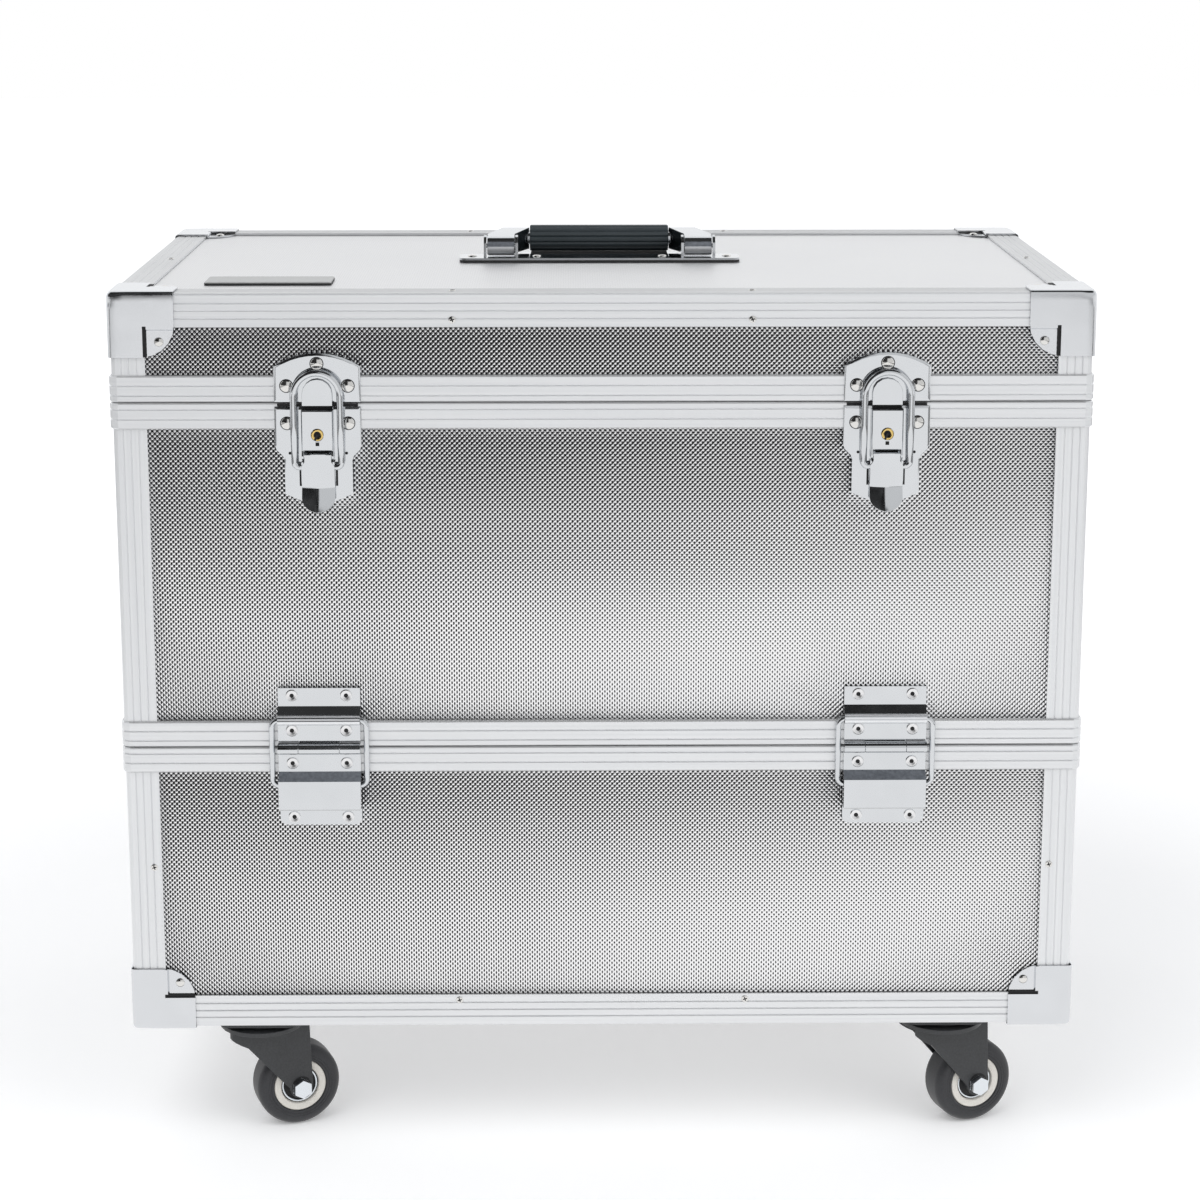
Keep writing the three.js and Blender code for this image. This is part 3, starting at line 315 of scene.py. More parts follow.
def chrome_material(name, color, rough=(0.07, 0.15)):
    graph = Graph(name)
    smudge = graph.noise(55.0, 4.0)
    fine = graph.noise(900.0, 2.0)
    return graph.made(
        Base_Color=graph.ramp(smudge, (0.3, tuple(0.95 * c for c in color)), (0.7, color)),
        Metallic=1.0,
        Roughness=graph.span(graph.mix(0.3, smudge, fine), 0.35, 0.65, *rough),
        Normal=graph.bump(graph.noise(38.0, 2.0), 0.2, 0.00015),
    )


def coat_material(name, dark, light, rough, scale, depth, metallic=0.0):
    """A plain moulded or painted finish with a fine grain."""
    graph = Graph(name)
    grain = graph.noise(scale, 4.0)
    patch = graph.noise(scale / 40, 3.0)
    return graph.made(
        Base_Color=graph.ramp(graph.mix(0.5, grain, patch), (0.35, dark), (0.65, light)),
        Metallic=metallic,
        Roughness=graph.span(patch, 0.3, 0.7, *rough),
        Normal=graph.bump(grain, 0.4, depth),
    )


aluminium = extrusion_material()
laminate = panel_material()
corner_chrome = chrome_material("corner_chrome", (0.74, 0.755, 0.78), (0.12, 0.20))
hardware_chrome = chrome_material("hardware_chrome", (0.71, 0.728, 0.75))
rivet_nickel = chrome_material("rivet_nickel", (0.80, 0.79, 0.77), (0.10, 0.18))
eyelet_metal = chrome_material("eyelet_aluminium", (0.90, 0.90, 0.91), (0.25, 0.34))
bolt_zinc = chrome_material("bolt_zinc", (0.80, 0.84, 0.88), (0.16, 0.26))
lock_brass = chrome_material("lock_brass", (0.83, 0.60, 0.22), (0.14, 0.24))

# Coats: the dark and the light of the grain, the roughness, the grain's scale and its depth
grip_plastic = coat_material(
    "grip_plastic", (0.026, 0.034, 0.038), (0.044, 0.055, 0.062), (0.38, 0.5), 1400.0, 0.00006
)
caster_steel = coat_material(
    "caster_steel", (0.026, 0.027, 0.029), (0.046, 0.048, 0.051), (0.34, 0.46), 900.0, 0.00008
)
tyre_rubber = coat_material(
    "wheel_rubber", (0.022, 0.022, 0.025), (0.038, 0.039, 0.043), (0.42, 0.55), 1200.0, 0.00006
)
hub_plastic = coat_material(
    "hub_plastic", (0.72, 0.69, 0.63), (0.82, 0.79, 0.73), (0.3, 0.42), 1000.0, 0.00004
)
# Near black, painted as shade in holes, gaps, notches and recesses
shadow_black = coat_material(
    "recess_black", (0.004, 0.004, 0.005), (0.010, 0.010, 0.011), (0.5, 0.7), 800.0, 0.00005
)
name_plate = coat_material(
    "name_plate", (0.42, 0.425, 0.42), (0.50, 0.505, 0.50), (0.36, 0.48), 700.0, 0.00004, 0.3
)
# A bright satin: the finish of the hinges' sleeves, and a painted highlight on the handle's hubs
sleeve_satin = coat_material(
    "sleeve_satin", (0.82, 0.83, 0.85), (0.90, 0.91, 0.93), (0.20, 0.28), 900.0, 0.00003, 0.6
)
# A dark steel coat painted as shade: on the slanted step of a hinge's pocket and over the handle's hubs
painted_shade_steel = coat_material(
    "bent_step", (0.10, 0.11, 0.125), (0.20, 0.215, 0.24), (0.25, 0.35), 500.0, 0.00003, 0.3
)
# Near black: the rubber edge of the name plate, and painted shade on the handle plate's rim and under its
# grip
rubber_edge_and_painted_shade = coat_material(
    "plate_edge", (0.018, 0.018, 0.019), (0.035, 0.035, 0.036), (0.5, 0.65), 900.0, 0.00006
)

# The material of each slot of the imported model
MATERIALS = {
    "aluminium_extrusion": aluminium,
    "panel_laminate": laminate,
    "corner_chrome": corner_chrome,
    "hardware_chrome": hardware_chrome,
    "lock_brass": lock_brass,
    "grip_plastic": grip_plastic,
    "caster_steel": caster_steel,
    "wheel_plastic": tyre_rubber,
}

# The materials of the small parts on each body, by their index
RIVET_MATERIALS = [rivet_nickel, eyelet_metal, shadow_black, sleeve_satin, name_plate]
NICKEL, EYELET, PAINTED_SHADE, SATIN, PALE = range(5)


# Pieces
def seat(x, y, z, turn=0.0):
    """The frame of a fitting, in millimetres: x to its right, y into the case, z up."""
    return Matrix.Translation((x, y, z)) @ Matrix.Rotation(math.radians(turn), 4, "Z")


def at(x, out, z):
    return Matrix.Translation((x, -out, z)) @ OUTWARD


def finished(name, built, body, materials, bevel, angle):
    """A piece from a mesh in millimetres, riding on a body, with flat faces kept flat."""
    bmesh.ops.recalc_face_normals(built, faces=built.faces)
    built.transform(Matrix.Scale(MM, 4))
    mesh = bpy.data.meshes.new(name)
    built.to_mesh(mesh)
    built.free()
    for material in materials:
        mesh.materials.append(material)
    piece = bpy.data.objects.new(name, mesh)
    bpy.context.collection.objects.link(piece)
    dress(piece, bevel, angle)
    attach(piece, body)
    return piece


def dress(piece, bevel, angle):
    """Rounds the edges that are sharper than an angle, or without a bevel keeps them sharp."""
    mesh = piece.data
    mesh.shade_smooth()
    mesh.set_sharp_from_angle(angle=math.radians(angle))
    if bevel:
        rounding = piece.modifiers.new("edges", "BEVEL")
        rounding.width = bevel * MM
        rounding.segments = 2
        rounding.limit_method = "ANGLE"
        rounding.angle_limit = math.radians(angle)
        rounding.use_clamp_overlap = True
        rounding.miter_outer = "MITER_ARC"
    weighted = piece.modifiers.new("flats", "WEIGHTED_NORMAL")
    weighted.keep_sharp = not bevel
    weighted.weight = 50


def refined(node, bevel, paints=(), shape=None):
    """A copy of a node's solid with its edges rounded, in the node's place."""
    source = nodes[node]
    built = bmesh.new()
    built.from_mesh(source.data)
    for layer in list(built.loops.layers.uv):
        built.loops.layers.uv.remove(layer)
    built.transform(source.matrix_world)
    built.transform(Matrix.Scale(1 / MM, 4))
    bmesh.ops.remove_doubles(built, verts=built.verts, dist=0.002)
    bmesh.ops.dissolve_limit(built, angle_limit=math.radians(0.6), verts=built.verts, edges=built.edges)
    if shape:
        shape(built)
    slot = slot_of(node)
    materials = [MATERIALS[slot]]
    for face in built.faces:
        face.material_index = 0
    for material, covers in paints:
        materials.append(material)
        for face in built.faces:
            if covers(face.calc_center_median()):
                face.material_index = len(materials) - 1
    piece = finished(f"{node}_skin", built, body_name(node), materials, bevel, 32.0)
    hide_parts(node)


def slot_of(node):
    name = nodes[node].data.materials[0].name
    return next(slot for slot in MATERIALS if name.startswith(slot))


def body_name(node):
    return nodes[node].parent.name.split(":")[1]


def eased(value, low, high):
    """Where a value lies between two others, from 0 to 1, with soft ends."""
    share = min(1.0, max(0.0, (value - low) / (high - low)))
    return share * share * (3 - 2 * share)


def arc(a, b, radius, start, end, steps):
    angles = [math.radians(start + (end - start) * i / steps) for i in range(steps + 1)]
    return [(a + radius * math.cos(t), b + radius * math.sin(t)) for t in angles]


def cut(built, place, normal):
    """Parts the edges and faces that a plane crosses."""
    parts = list(built.verts) + list(built.edges) + list(built.faces)
    bmesh.ops.bisect_plane(built, geom=parts, dist=0.001, plane_co=place, plane_no=normal)


def block(built, matrix, index):
    """A cube of edge 1, sized and placed by a matrix."""
    made = bmesh.ops.create_cube(built, size=1.0, matrix=matrix)
    for face in {face for vert in made["verts"] for face in vert.link_faces}:
        face.material_index = index


def slab(built, matrix, across, out, up, index):
    """A block from spans across, out of and up a fitting."""
    size = [high - low for low, high in (across, out, up)]
    middle = [(high + low) / 2 for low, high in (across, out, up)]
    place = Matrix.Translation((middle[0], -middle[1], middle[2]))
    block(built, matrix @ place @ Matrix.Diagonal((*size, 1)), index)


def band(built, lower, upper, index=0):
    """Faces between two closed rings of as many corners."""
    for i in range(len(lower)):
        j = (i + 1) % len(lower)
        built.faces.new((lower[i], lower[j], upper[j], upper[i])).material_index = index


def sheet(built, matrix, outline, across, index=0):
    """A piece of sheet from its outline as (out, up), between two places across a fitting."""
    sides = [[built.verts.new(matrix @ Vector((x, -out, z))) for out, z in outline] for x in across]
    band(built, *sides, index)
    for side in sides:
        built.faces.new(side).material_index = index


def lathe(built, rows, matrix, sides=32, index=0):
    """Turns rows of (radius, height) round the matrix's z axis."""
    rings = []
    turns = [2 * math.pi * i / sides for i in range(sides)]
    for radius, height in rows:
        if radius < 1e-6:
            rings.append([built.verts.new(matrix @ Vector((0, 0, height)))])
            continue
        places = [Vector((radius * math.cos(t), radius * math.sin(t), height)) for t in turns]
        rings.append([built.verts.new(matrix @ place) for place in places])
    for low, high in zip(rings, rings[1:]):
        for i in range(sides):
            j = (i + 1) % sides
            corners = [low[i % len(low)], low[j % len(low)], high[j % len(high)], high[i % len(high)]]
            built.faces.new(list(dict.fromkeys(corners))).material_index = index


WIRE_SIDES = 16


def tube(built, points, radius, matrix):
    """Round wire along points, with its ends rounded off."""
    points = [Vector(point) for point in points]
    last = len(points) - 1
    headings = [(points[min(i + 1, last)] - points[max(i - 1, 0)]).normalized() for i in range(last + 1)]
    side = headings[0].orthogonal().normalized()
    sides = []
    for heading in headings:
        side = (side - heading * side.dot(heading)).normalized()
        sides.append(side.copy())

    # Two stations at each end, the outer one narrower
    end = 0.3 * radius
    stations = [(points[0] + headings[0] * d, 0, share) for d, share in ((0.0, 0.72), (end, 1.0))]
    stations += [(points[i], i, 1.0) for i in range(1, last)]
    stations += [(points[-1] - headings[-1] * d, last, share) for d, share in ((end, 1.0), (0.0, 0.72))]
    turns = [2 * math.pi * i / WIRE_SIDES for i in range(WIRE_SIDES)]
    hoops = []
    for point, i, share in stations:
        other = headings[i].cross(sides[i])
        around = [point + (sides[i] * math.cos(t) + other * math.sin(t)) * radius * share for t in turns]
        hoops.append([built.verts.new(matrix @ place) for place in around])
    for lower, upper in zip(hoops, hoops[1:]):
        band(built, lower, upper)
    built.faces.new(hoops[0])
    built.faces.new(hoops[-1])


# Small fasteners
RIVET_RADIUS = 3.5
SCREW_RADIUS = 2.1


def collar(built, matrix, radius):
    """A line of painted shade round a pressed rivet head."""
    lathe(built, [(radius + 0.4, 0.0), (radius + 0.35, 0.08), (radius - 0.3, 0.08)], matrix, 24, PAINTED_SHADE)


def dome(built, matrix, radius, height):
    """A round rivet head on a small step."""
    step = 0.22
    rows = [(radius, 0.0), (radius, step * height)]
    for t in (0.2, 0.5, 0.8, 1.1, 1.35):
        rows.append((radius * math.cos(t) * 0.97, height * (step + (1 - step) * math.sin(t))))
    rows.append((0.0, height))
    lathe(built, rows, matrix, 24, NICKEL)


def eyelet(built, matrix):
    """A low countersunk head with a hole in its middle, floored in near black as the painted shade of a
    deep hole.
    """
    radius, hole = RIVET_RADIUS, 1.25
    rows = [(radius, 0.0), (radius * 0.97, 0.35), (radius * 0.86, 0.6), (radius * 0.62, 0.5)]
    rows += [(hole * 1.35, 0.28), (hole, 0.2)]
    lathe(built, rows, matrix, 24, EYELET)
    lathe(built, [(hole, 0.2), (hole, 0.06), (0.0, 0.05)], matrix, 24, PAINTED_SHADE)


def screw(built, matrix):
    """A small countersunk screw with its cross recess drawn as a near black cross of painted shade."""
    radius = SCREW_RADIUS
    rows = [(radius, 0.0), (radius * 0.95, 0.25), (radius * 0.7, 0.42), (0.0, 0.5)]
    lathe(built, rows, matrix, 20, NICKEL)
    for turn in (0.3, 0.3 + math.pi / 2):
        arm = matrix @ Matrix.Rotation(turn, 4, "Z") @ Matrix.Translation((0, 0, 0.45))
        block(built, arm @ Matrix.Diagonal((1.2 * radius, 0.3 * radius, 0.16, 1)), PAINTED_SHADE)


# Edges of the refined nodes, in millimetres
LEAF_BEVEL = 0.18
LATCH_BEVEL = 0.16
CORNER_BEVEL = 0.22
CASTER_BEVEL = 0.2
THICK_BEVEL = 0.3


# The places of refined nodes that have a second material
def on_step(place):
    """The slanted step of a lower leaf's pocket, painted dark as shade."""
    return any(level + STEP_FOOT < place.z < level + STEP_HEAD for level in (LOWER_SEAM, UPPER_SEAM))


def rim_parted(built):
    """Cuts the edge of the handle's plate where its rounding starts."""
    cut(built, (0, 0, RIM_LEVEL), (0, 0, 1))


def on_rim(place):
    """The lower part of that edge, painted near black as shade."""
    return RIM_FOOT < place.z < RIM_LEVEL


def under_hub(place):
    """The front of the handle's hubs, under its pivot, painted bright as a highlight."""
    return place.y < HUB_FRONT and HUB_FOOT < place.z < PIVOT_LEVEL


def over_hub(place):
    """The front of the handle's hubs, over its pivot, painted dark as shade."""
    return place.y < HUB_FRONT and PIVOT_LEVEL < place.z < HUB_HEAD


# The nodes' own meshes get the finish of their slot, and those of bent sheet are also refined
for name, node in nodes.items():
    material = MATERIALS[slot_of(name)]
    for i in range(len(node.data.materials)):
        node.data.materials[i] = material

for name in list(nodes):
    if "_upper_leaf_" in name:
        refined(name, LEAF_BEVEL)
    elif "_lower_leaf_" in name:
        # The step of a lower leaf is painted dark as shade
        refined(name, LEAF_BEVEL, paints=[(painted_shade_steel, on_step)])
    elif "_latch_strike_" in name or "_latch_base_" in name:
        refined(name, LATCH_BEVEL)
    elif name == "handle_plate":
        # The lower part of the plate's rim is painted near black as shade
        refined(name, THICK_BEVEL, paints=[(rubber_edge_and_painted_shade, on_rim)], shape=rim_parted)
    elif name == "handle_frame":
        # The hubs are painted bright under their pivot and dark over it: painted highlight and painted
        # shade
        refined(name, THICK_BEVEL, paints=[(sleeve_satin, under_hub), (painted_shade_steel, over_hub)])
    elif "caster_plate_" in name:
        refined(name, CASTER_BEVEL)


# Hinges and latches. All places are in the frame of the fitting: across, out of it and up.
STAY_RADIUS = 1.6
STAY_OUT = 5.2
STAY_ACROSS = 22.85
STAY_BEND = 4.0
BAIL_RADIUS = 1.9
BAIL_ACROSS = 12.9
BAIL_OUT_LOW = 7.2
BAIL_OUT_HIGH = 9.4


def mirrored_route(half):
    """The right half of a route, from places as (across, out, up), and the left half back."""
    route = [(x, -out, z) for x, out, z in half]
    return route, [(-x, y, z) for x, y, z in reversed(route)]


def stay_route():
    half = [(2.0, -22.1)]
    half += arc(STAY_ACROSS, -18.1, STAY_BEND, -90, 0, 8)
    half += arc(STAY_ACROSS, 12.4, STAY_BEND, 0, 90, 8)
    right, left = mirrored_route([(x, STAY_OUT, z) for x, z in half])
    return right + left


def bail_route():
    half = [(8.3, BAIL_OUT_LOW, -35.5)]
    half += [(x, BAIL_OUT_LOW, z) for x, z in arc(10.3, -32.9, 2.6, -90, 0, 8)]
    for i in range(13):
        share = i / 12
        out = BAIL_OUT_LOW + (BAIL_OUT_HIGH - BAIL_OUT_LOW) * eased(share, 0.0, 1.0)
        half.append((BAIL_ACROSS, out, -31.0 + 19.0 * share))
    half += [(x, BAIL_OUT_HIGH, z) for x, z in arc(0.0, 4.8, BAIL_ACROSS, 0, 90, 16)]
    right, left = mirrored_route(half)
    return right + left[1:]


def wire(node, route, radius, place):
    """Bent wire in the place of a node's solid."""
    built = bmesh.new()
    tube(built, route, radius, place)
    piece = finished(f"{node}_wire", built, node, [hardware_chrome], None, 50.0)
    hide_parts(node)


# A latch's lever: its strap, crease and thumb part, the crown across that, and the pin it turns on
LEVER_TOP = -28.2
LEVER_CREASE = -47.5
LEVER_ROUND = -53.0
LEVER_END = -60.2
LEVER_NECK = 7.4
LEVER_HALF = 9.2
LEVER_OUT = 8.65
LEVER_BEND = (10.5, -54.2)
LEVER_TIP = (13.52, LEVER_END)
LEVER_SKIN = 1.1
LEVER_CROWN = 0.24
PIN_OUT = 7.0
PIN_LEVEL = -29.0
PIN_HALF = 8.85


def lever_route():
    """Places down the middle of the strap as (out, up): straight, and curved past the crease."""
    levels = [LEVER_TOP - 0.5 * i for i in range(28)] + [-42.2 - 0.4 * i for i in range(13)]
    route = [(LEVER_OUT, z) for z in levels + [LEVER_CREASE + 0.1]]
    (a, b), (c, d), (e, f) = (LEVER_OUT, LEVER_CREASE), LEVER_BEND, LEVER_TIP
    for i in range(25):
        t = 0.008 + 0.992 * i / 24
        share = 1 - (1 - t) ** 1.25
        old = 1 - share
        out = old * old * a + 2 * old * share * c + share * share * e
        route.append((out, old * old * b + 2 * old * share * d + share * share * f))
    return route


def lever_half_width(z):
    if z > LEVER_ROUND:
        return LEVER_NECK + (LEVER_HALF - LEVER_NECK) * eased(-z, 32.0, 35.4)
    return LEVER_HALF * math.sqrt(max(0.02, 1 - ((LEVER_ROUND - z) / 7.25) ** 2))


def lever_skin(built, held, route, side):
    """One side of the bent strap as a grid of corners, with the thumb part crowned across."""
    shares = [math.sin(0.5 * math.pi * i / 9) for i in range(-9, 10)]
    grid = []
    for i, place in enumerate(route):
        heading = (route[min(i + 1, len(route) - 1)] - route[max(i - 1, 0)]).normalized()
        out = place + Vector((-heading.y, heading.x)) * side * LEVER_SKIN / 2
        if heading.y > 0:
            out = place * 2 - out
        half = lever_half_width(place.y)
        crown = LEVER_CROWN * eased(-place.y, 42.6, 46.8)
        row = []
        for share in shares:
            drop = crown * (math.hypot(share * half, 1.6) - 1.6)
            row.append(built.verts.new(held @ Vector((share * half, drop - out.x, out.y))))
        grid.append(row)
    return grid


def lever(name, held):
    built = bmesh.new()
    route = [Vector(place) for place in lever_route()]
    skins = [lever_skin(built, held, route, side) for side in (1, -1)]
    for grid in skins:
        for upper, lower in zip(grid, grid[1:]):
            for i in range(len(upper) - 1):
                built.faces.new((upper[i], upper[i + 1], lower[i + 1], lower[i]))
    rims = []
    for grid in skins:
        right, left = [row[-1] for row in grid[1:-1]], [row[0] for row in grid[-2:0:-1]]
        rims.append(grid[0] + right + grid[-1][::-1] + left)
    band(built, *rims)

    # Eyes round the pin, and the wings beside the strap
    eye = [(LEVER_OUT, -28.2), (LEVER_OUT, -33.2)] + arc(PIN_OUT, PIN_LEVEL, 2.0, -90, -270, 10)
    wing = [(LEVER_OUT, -32.6), (LEVER_OUT, -42.6), (7.0, -46.0), (5.2, -41.0), (5.2, -32.6)]
    for sign in (-1, 1):
        sheet(built, held, eye, (sign * 6.3, sign * LEVER_NECK))
        sheet(built, held, wing, (sign * 8.1, sign * LEVER_HALF))
    pin = held @ Matrix.Translation((0, -PIN_OUT, PIN_LEVEL)) @ Matrix.Rotation(math.pi / 2, 4, "Y")
    lathe(built, [(0.0, -PIN_HALF), (1.4, -PIN_HALF), (1.4, PIN_HALF), (0.0, PIN_HALF)], pin, 20)
    materials = [hardware_chrome]
    piece = finished(f"{name}_bent", built, body_name(name), materials, 0.18, 40.0)
    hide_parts(name)


# The key lock in the base plate of a front latch
LOCK_OUT = 9.2
LOCK_LEVEL = -17.1


def lock(name, held):
    """A brass ring round a keyway drawn near black as painted shade."""
    built = bmesh.new()
    centre = held @ at(0.0, LOCK_OUT, LOCK_LEVEL)
    ring = [(3.3, -0.3), (3.3, 0.12), (3.12, 0.28), (2.6, 0.3), (2.1, 0.16), (1.9, -0.05)]
    lathe(built, ring, centre, 32, 0)
    lathe(built, [(1.9, -0.05), (1.85, -0.9), (0.0, -0.9)], centre, 32, 1)
    way = held @ Matrix.Translation((0, 0, LOCK_LEVEL)) @ Matrix.Rotation(math.radians(24), 4, "Y")
    slab(built, way, (-0.6, 0.6), (8.6, 9.54), (-3.25, 0.4), 1)
    materials = [lock_brass, shadow_black]
    piece = finished(f"{name}_turned", built, body_name(name), materials, None, 40.0)
    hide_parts(name)


def latch_shades(built, held, locked):
    """Near black sheets of painted shade in the deep gaps of a latch: the seam between its plates, relief
    holes and notches.
    """
    slab(built, held, (-22.4, 22.4), (3.1, 3.34), (-2.05, -0.32), PAINTED_SHADE)
    slab(built, held, (-8.3, 8.3), (4.5, 4.68), (-3.4, -2.15), PAINTED_SHADE)
    slab(built, held, (-LEVER_NECK, LEVER_NECK), (4.5, 4.7), (-28.1, -26.4), PAINTED_SHADE)
    for sign in (-1, 1):
        hole = held @ at(sign * 15.7, 4.6, -28.2)
        lathe(built, [(0.85, 0.0), (0.8, 0.08), (0.0, 0.08)], hole, 16, PAINTED_SHADE)
        spans = sorted((sign * 9.5, sign * 10.7))
        slab(built, held, spans, (4.5, 4.68), (-46.8, -37.8), PAINTED_SHADE)
    if locked:
        slab(built, held, (-0.95, 0.95), (8.1, 8.35), (-23.25, -21.35), PAINTED_SHADE)


# Heads on the upper (1) and the lower (0) section: out and up on hinges, across and up on latches
HINGE_EYELETS = ((1, 1.3, 29.9), (1, 4.5, 10.2), (0, 4.5, -9.1), (0, 1.3, -42.2))
LATCH_RIVETS = ((1, 0.0, 22.1), (1, -17.0, 9.7), (1, 17.0, 9.7), (0, -17.0, -11.3), (0, 17.0, -11.3))

rivets = {body: bmesh.new() for body in ("base", "middle", "lid")}

for hinge, latch, lower, upper, level, hinge_side in SEAMS:
    hinge_turn, latch_turn = (0, 180) if hinge_side < 0 else (180, 0)
    sections = (lower, upper)
    for side, sign in SIDES:
        hung = seat(sign * HINGE_ACROSS, hinge_side * HALF_DEPTH, level, hinge_turn)
        wire(f"{hinge}_stay_{side}", stay_route(), STAY_RADIUS, hung)
        for x in (-15.4, 15.4):
            for section, out, z in HINGE_EYELETS:
                eyelet(rivets[sections[section]], hung @ at(x, out, z))
        # The satin sleeve round the wire, and a pale grey line of painted shade along the pocket's foot
        sheet(rivets[upper], hung, arc(STAY_OUT, 16.4, 2.86, -118, 118, 24), (-23.4, 23.4), SATIN)
        slab(rivets[lower], hung, (-23.2, 23.2), (9.2, 9.46), (-35.75, -35.45), PALE)

        held = seat(sign * LATCH_ACROSS, -hinge_side * HALF_DEPTH, level, latch_turn)
        wire(f"{latch}_bail_{side}", bail_route(), BAIL_RADIUS, held)
        lever(f"{latch}_lever_{side}", held)
        locked = latch == "front_latch"
        if locked:
            lock(f"{latch}_lock_{side}", held)
        latch_shades(rivets[lower], held, locked)
        for section, x, z in LATCH_RIVETS:
            dome(rivets[sections[section]], held @ at(x, 4.6, z), RIVET_RADIUS, 1.5)
            collar(rivets[sections[section]], held @ at(x, 4.6, z), RIVET_RADIUS)


# Ball corners with their rivets, and near black blocks of painted shade in their notches. A corner's
# folding reaches CORNER_EDGE in from its outer faces. It is scaled by CORNER_TIP at the ball and, from
# CORNER_EASE on, by CORNER_CREASE.
CORNER_EDGE = 5.0
CORNER_EASE = 10.0
CORNER_CUTS = 6
CORNER_TIP = 3.0 / CORNER_EDGE
CORNER_CREASE = 2.2 / CORNER_EDGE
NOTCH = ((19.55, 21.45), (19.6, 36.8), (0.85, 1.3))
BALL_RIVET = 28.3


def tightened(built, tip, legs):
    """Draws the ball of a pressed corner in, and folds each edge past it tighter still."""
    for leg in legs:
        for i in range(1, CORNER_CUTS + 1):
            depth = CORNER_EDGE + (CORNER_EASE - CORNER_EDGE) * i / CORNER_CUTS
            cut(built, tip + depth * leg, leg)
    for vert in built.verts:
        depths = [(vert.co - tip).dot(leg) for leg in legs]
        near = [i for i in range(3) if depths[i] < CORNER_EDGE + 0.01]
        if len(near) > 1:
            share = eased(max(depths), CORNER_EDGE, CORNER_EASE)
            scale = CORNER_TIP + (CORNER_CREASE - CORNER_TIP) * share
            for i in near:
                vert.co -= legs[i] * depths[i] * (1 - scale)


for word, sx, sy in CORNERS:
    for body, level, up in (("base", CORNER_BOTTOM, 1), ("lid", CORNER_TOP, -1)):
        tip = Vector((sx * (HALF_WIDTH + CORNER_OUT), sy * (HALF_DEPTH + CORNER_OUT), level))
        legs = (Vector((-sx, 0, 0)), Vector((0, -sy, 0)), Vector((0, 0, up)))
        if body == "base":
            slots = ((2, 0, 1), (2, 1, 0), (0, 1, 2))
        elif sy < 0:
            slots = ((0, 1, 2), (0, 2, 1), (1, 2, 0))
        else:
            slots = ((1, 0, 2), (1, 2, 0), (0, 2, 1))
        refined(f"{body}_corner_{word}", CORNER_BEVEL, shape=lambda built: tightened(built, tip, legs))
        # Each notch is a near black block of painted shade
        for axes in slots:
            spans = list(zip(axes, NOTCH))
            low, high = (sum((legs[i] * span[end] for i, span in spans), tip) for end in (0, 1))
            size = [abs(length) for length in high - low]
            block(rivets[body], Matrix.Translation((low + high) / 2) @ Matrix.Diagonal((*size, 1)), PAINTED_SHADE)
        for first, second, out in ((0, 1, 2), (1, 2, 0), (0, 2, 1)):
            place = tip + BALL_RIVET * (legs[first] + legs[second]) + 1.6 * legs[out]
            facing = (-legs[out]).to_track_quat("Z", "X").to_matrix().to_4x4()
            dome(rivets[body], Matrix.Translation(place) @ facing, 2.6, 1.15)


# Screws of the frames, and the rivets of the handle's plate
SCREW_ACROSS = 83.0
SCREW_HIGH = 488.0
SCREW_LOW = 88.8
SCREW_POST = 170.6

for sy in (-1, 1):
    face = seat(0, sy * HALF_DEPTH, 0, 0 if sy < 0 else 180)
    for x in (-SCREW_ACROSS, SCREW_ACROSS):
        screw(rivets["lid"], face @ at(x, ANGLE_OUT, SCREW_HIGH))
        screw(rivets["lid"], Matrix.Translation((x, sy * 143.0, ANGLE_TOP)))
        screw(rivets["base"], face @ at(x, ANGLE_OUT, SCREW_LOW))
    for x in (-257.5, 257.5):
        screw(rivets["base"], face @ at(x, ANGLE_OUT, SCREW_POST))
for sx in (-1, 1):
    face = seat(sx * HALF_WIDTH, 0, 0, 90 * sx)
    screw(rivets["lid"], Matrix.Translation((sx * 259.0, 0.0, ANGLE_TOP)))
    screw(rivets["lid"], face @ at(0.0, ANGLE_OUT, SCREW_HIGH))
    screw(rivets["base"], face @ at(0.0, ANGLE_OUT, SCREW_LOW))
    for y in (-137.5, 137.5):
        screw(rivets["base"], face @ at(y, ANGLE_OUT, SCREW_POST))
for x in (-77.0, -38.0, 38.0, 77.0):
    dome(rivets["lid"], Matrix.Translation((x, 2.0, 504.2)), 2.9, 1.0)

for body, built in rivets.items():
    finished(f"{body}_rivets", built, body, RIVET_MATERIALS, None, 40.0)


# Handle grip with its ribs
GRIP_HALF = 42.5
GRIP_RADIUS = 8.0
GRIP_GROOVE = 0.8
GRIP_BACK = 31.5
GRIP_LEVEL = 511.8
GRIP_RIBS = 14
GRIP_STEPS = 10


def grip():
    built = bmesh.new()
    count = GRIP_RIBS * GRIP_STEPS
    ends = [(GRIP_HALF, 0.93), (GRIP_HALF - 0.3, 0.97), (GRIP_HALF - 0.8, 1.0)]
    rings = []
    for x, share in [(-x, share) for x, share in ends] + ends[::-1]:
        ring = []
        for i in range(count):
            turn = 2 * math.pi * (i + 0.5) / count
            phase = (i % GRIP_STEPS) / GRIP_STEPS
            groove = eased(1 - abs(phase - 0.5) / 0.22, 0.0, 1.0)
            radius = (GRIP_RADIUS - GRIP_GROOVE * groove) * share
            place = (x, GRIP_BACK + radius * math.cos(turn), GRIP_LEVEL + radius * math.sin(turn))
            ring.append(built.verts.new(place))
        rings.append(ring)
    for left, right in zip(rings, rings[1:]):
        band(built, left, right)
    built.faces.new(rings[0])
    built.faces.new(rings[-1])
    piece = finished("handle_grip_ribbed", built, "handle", [grip_plastic], None, 60.0)
    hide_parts("handle_grip")


grip()


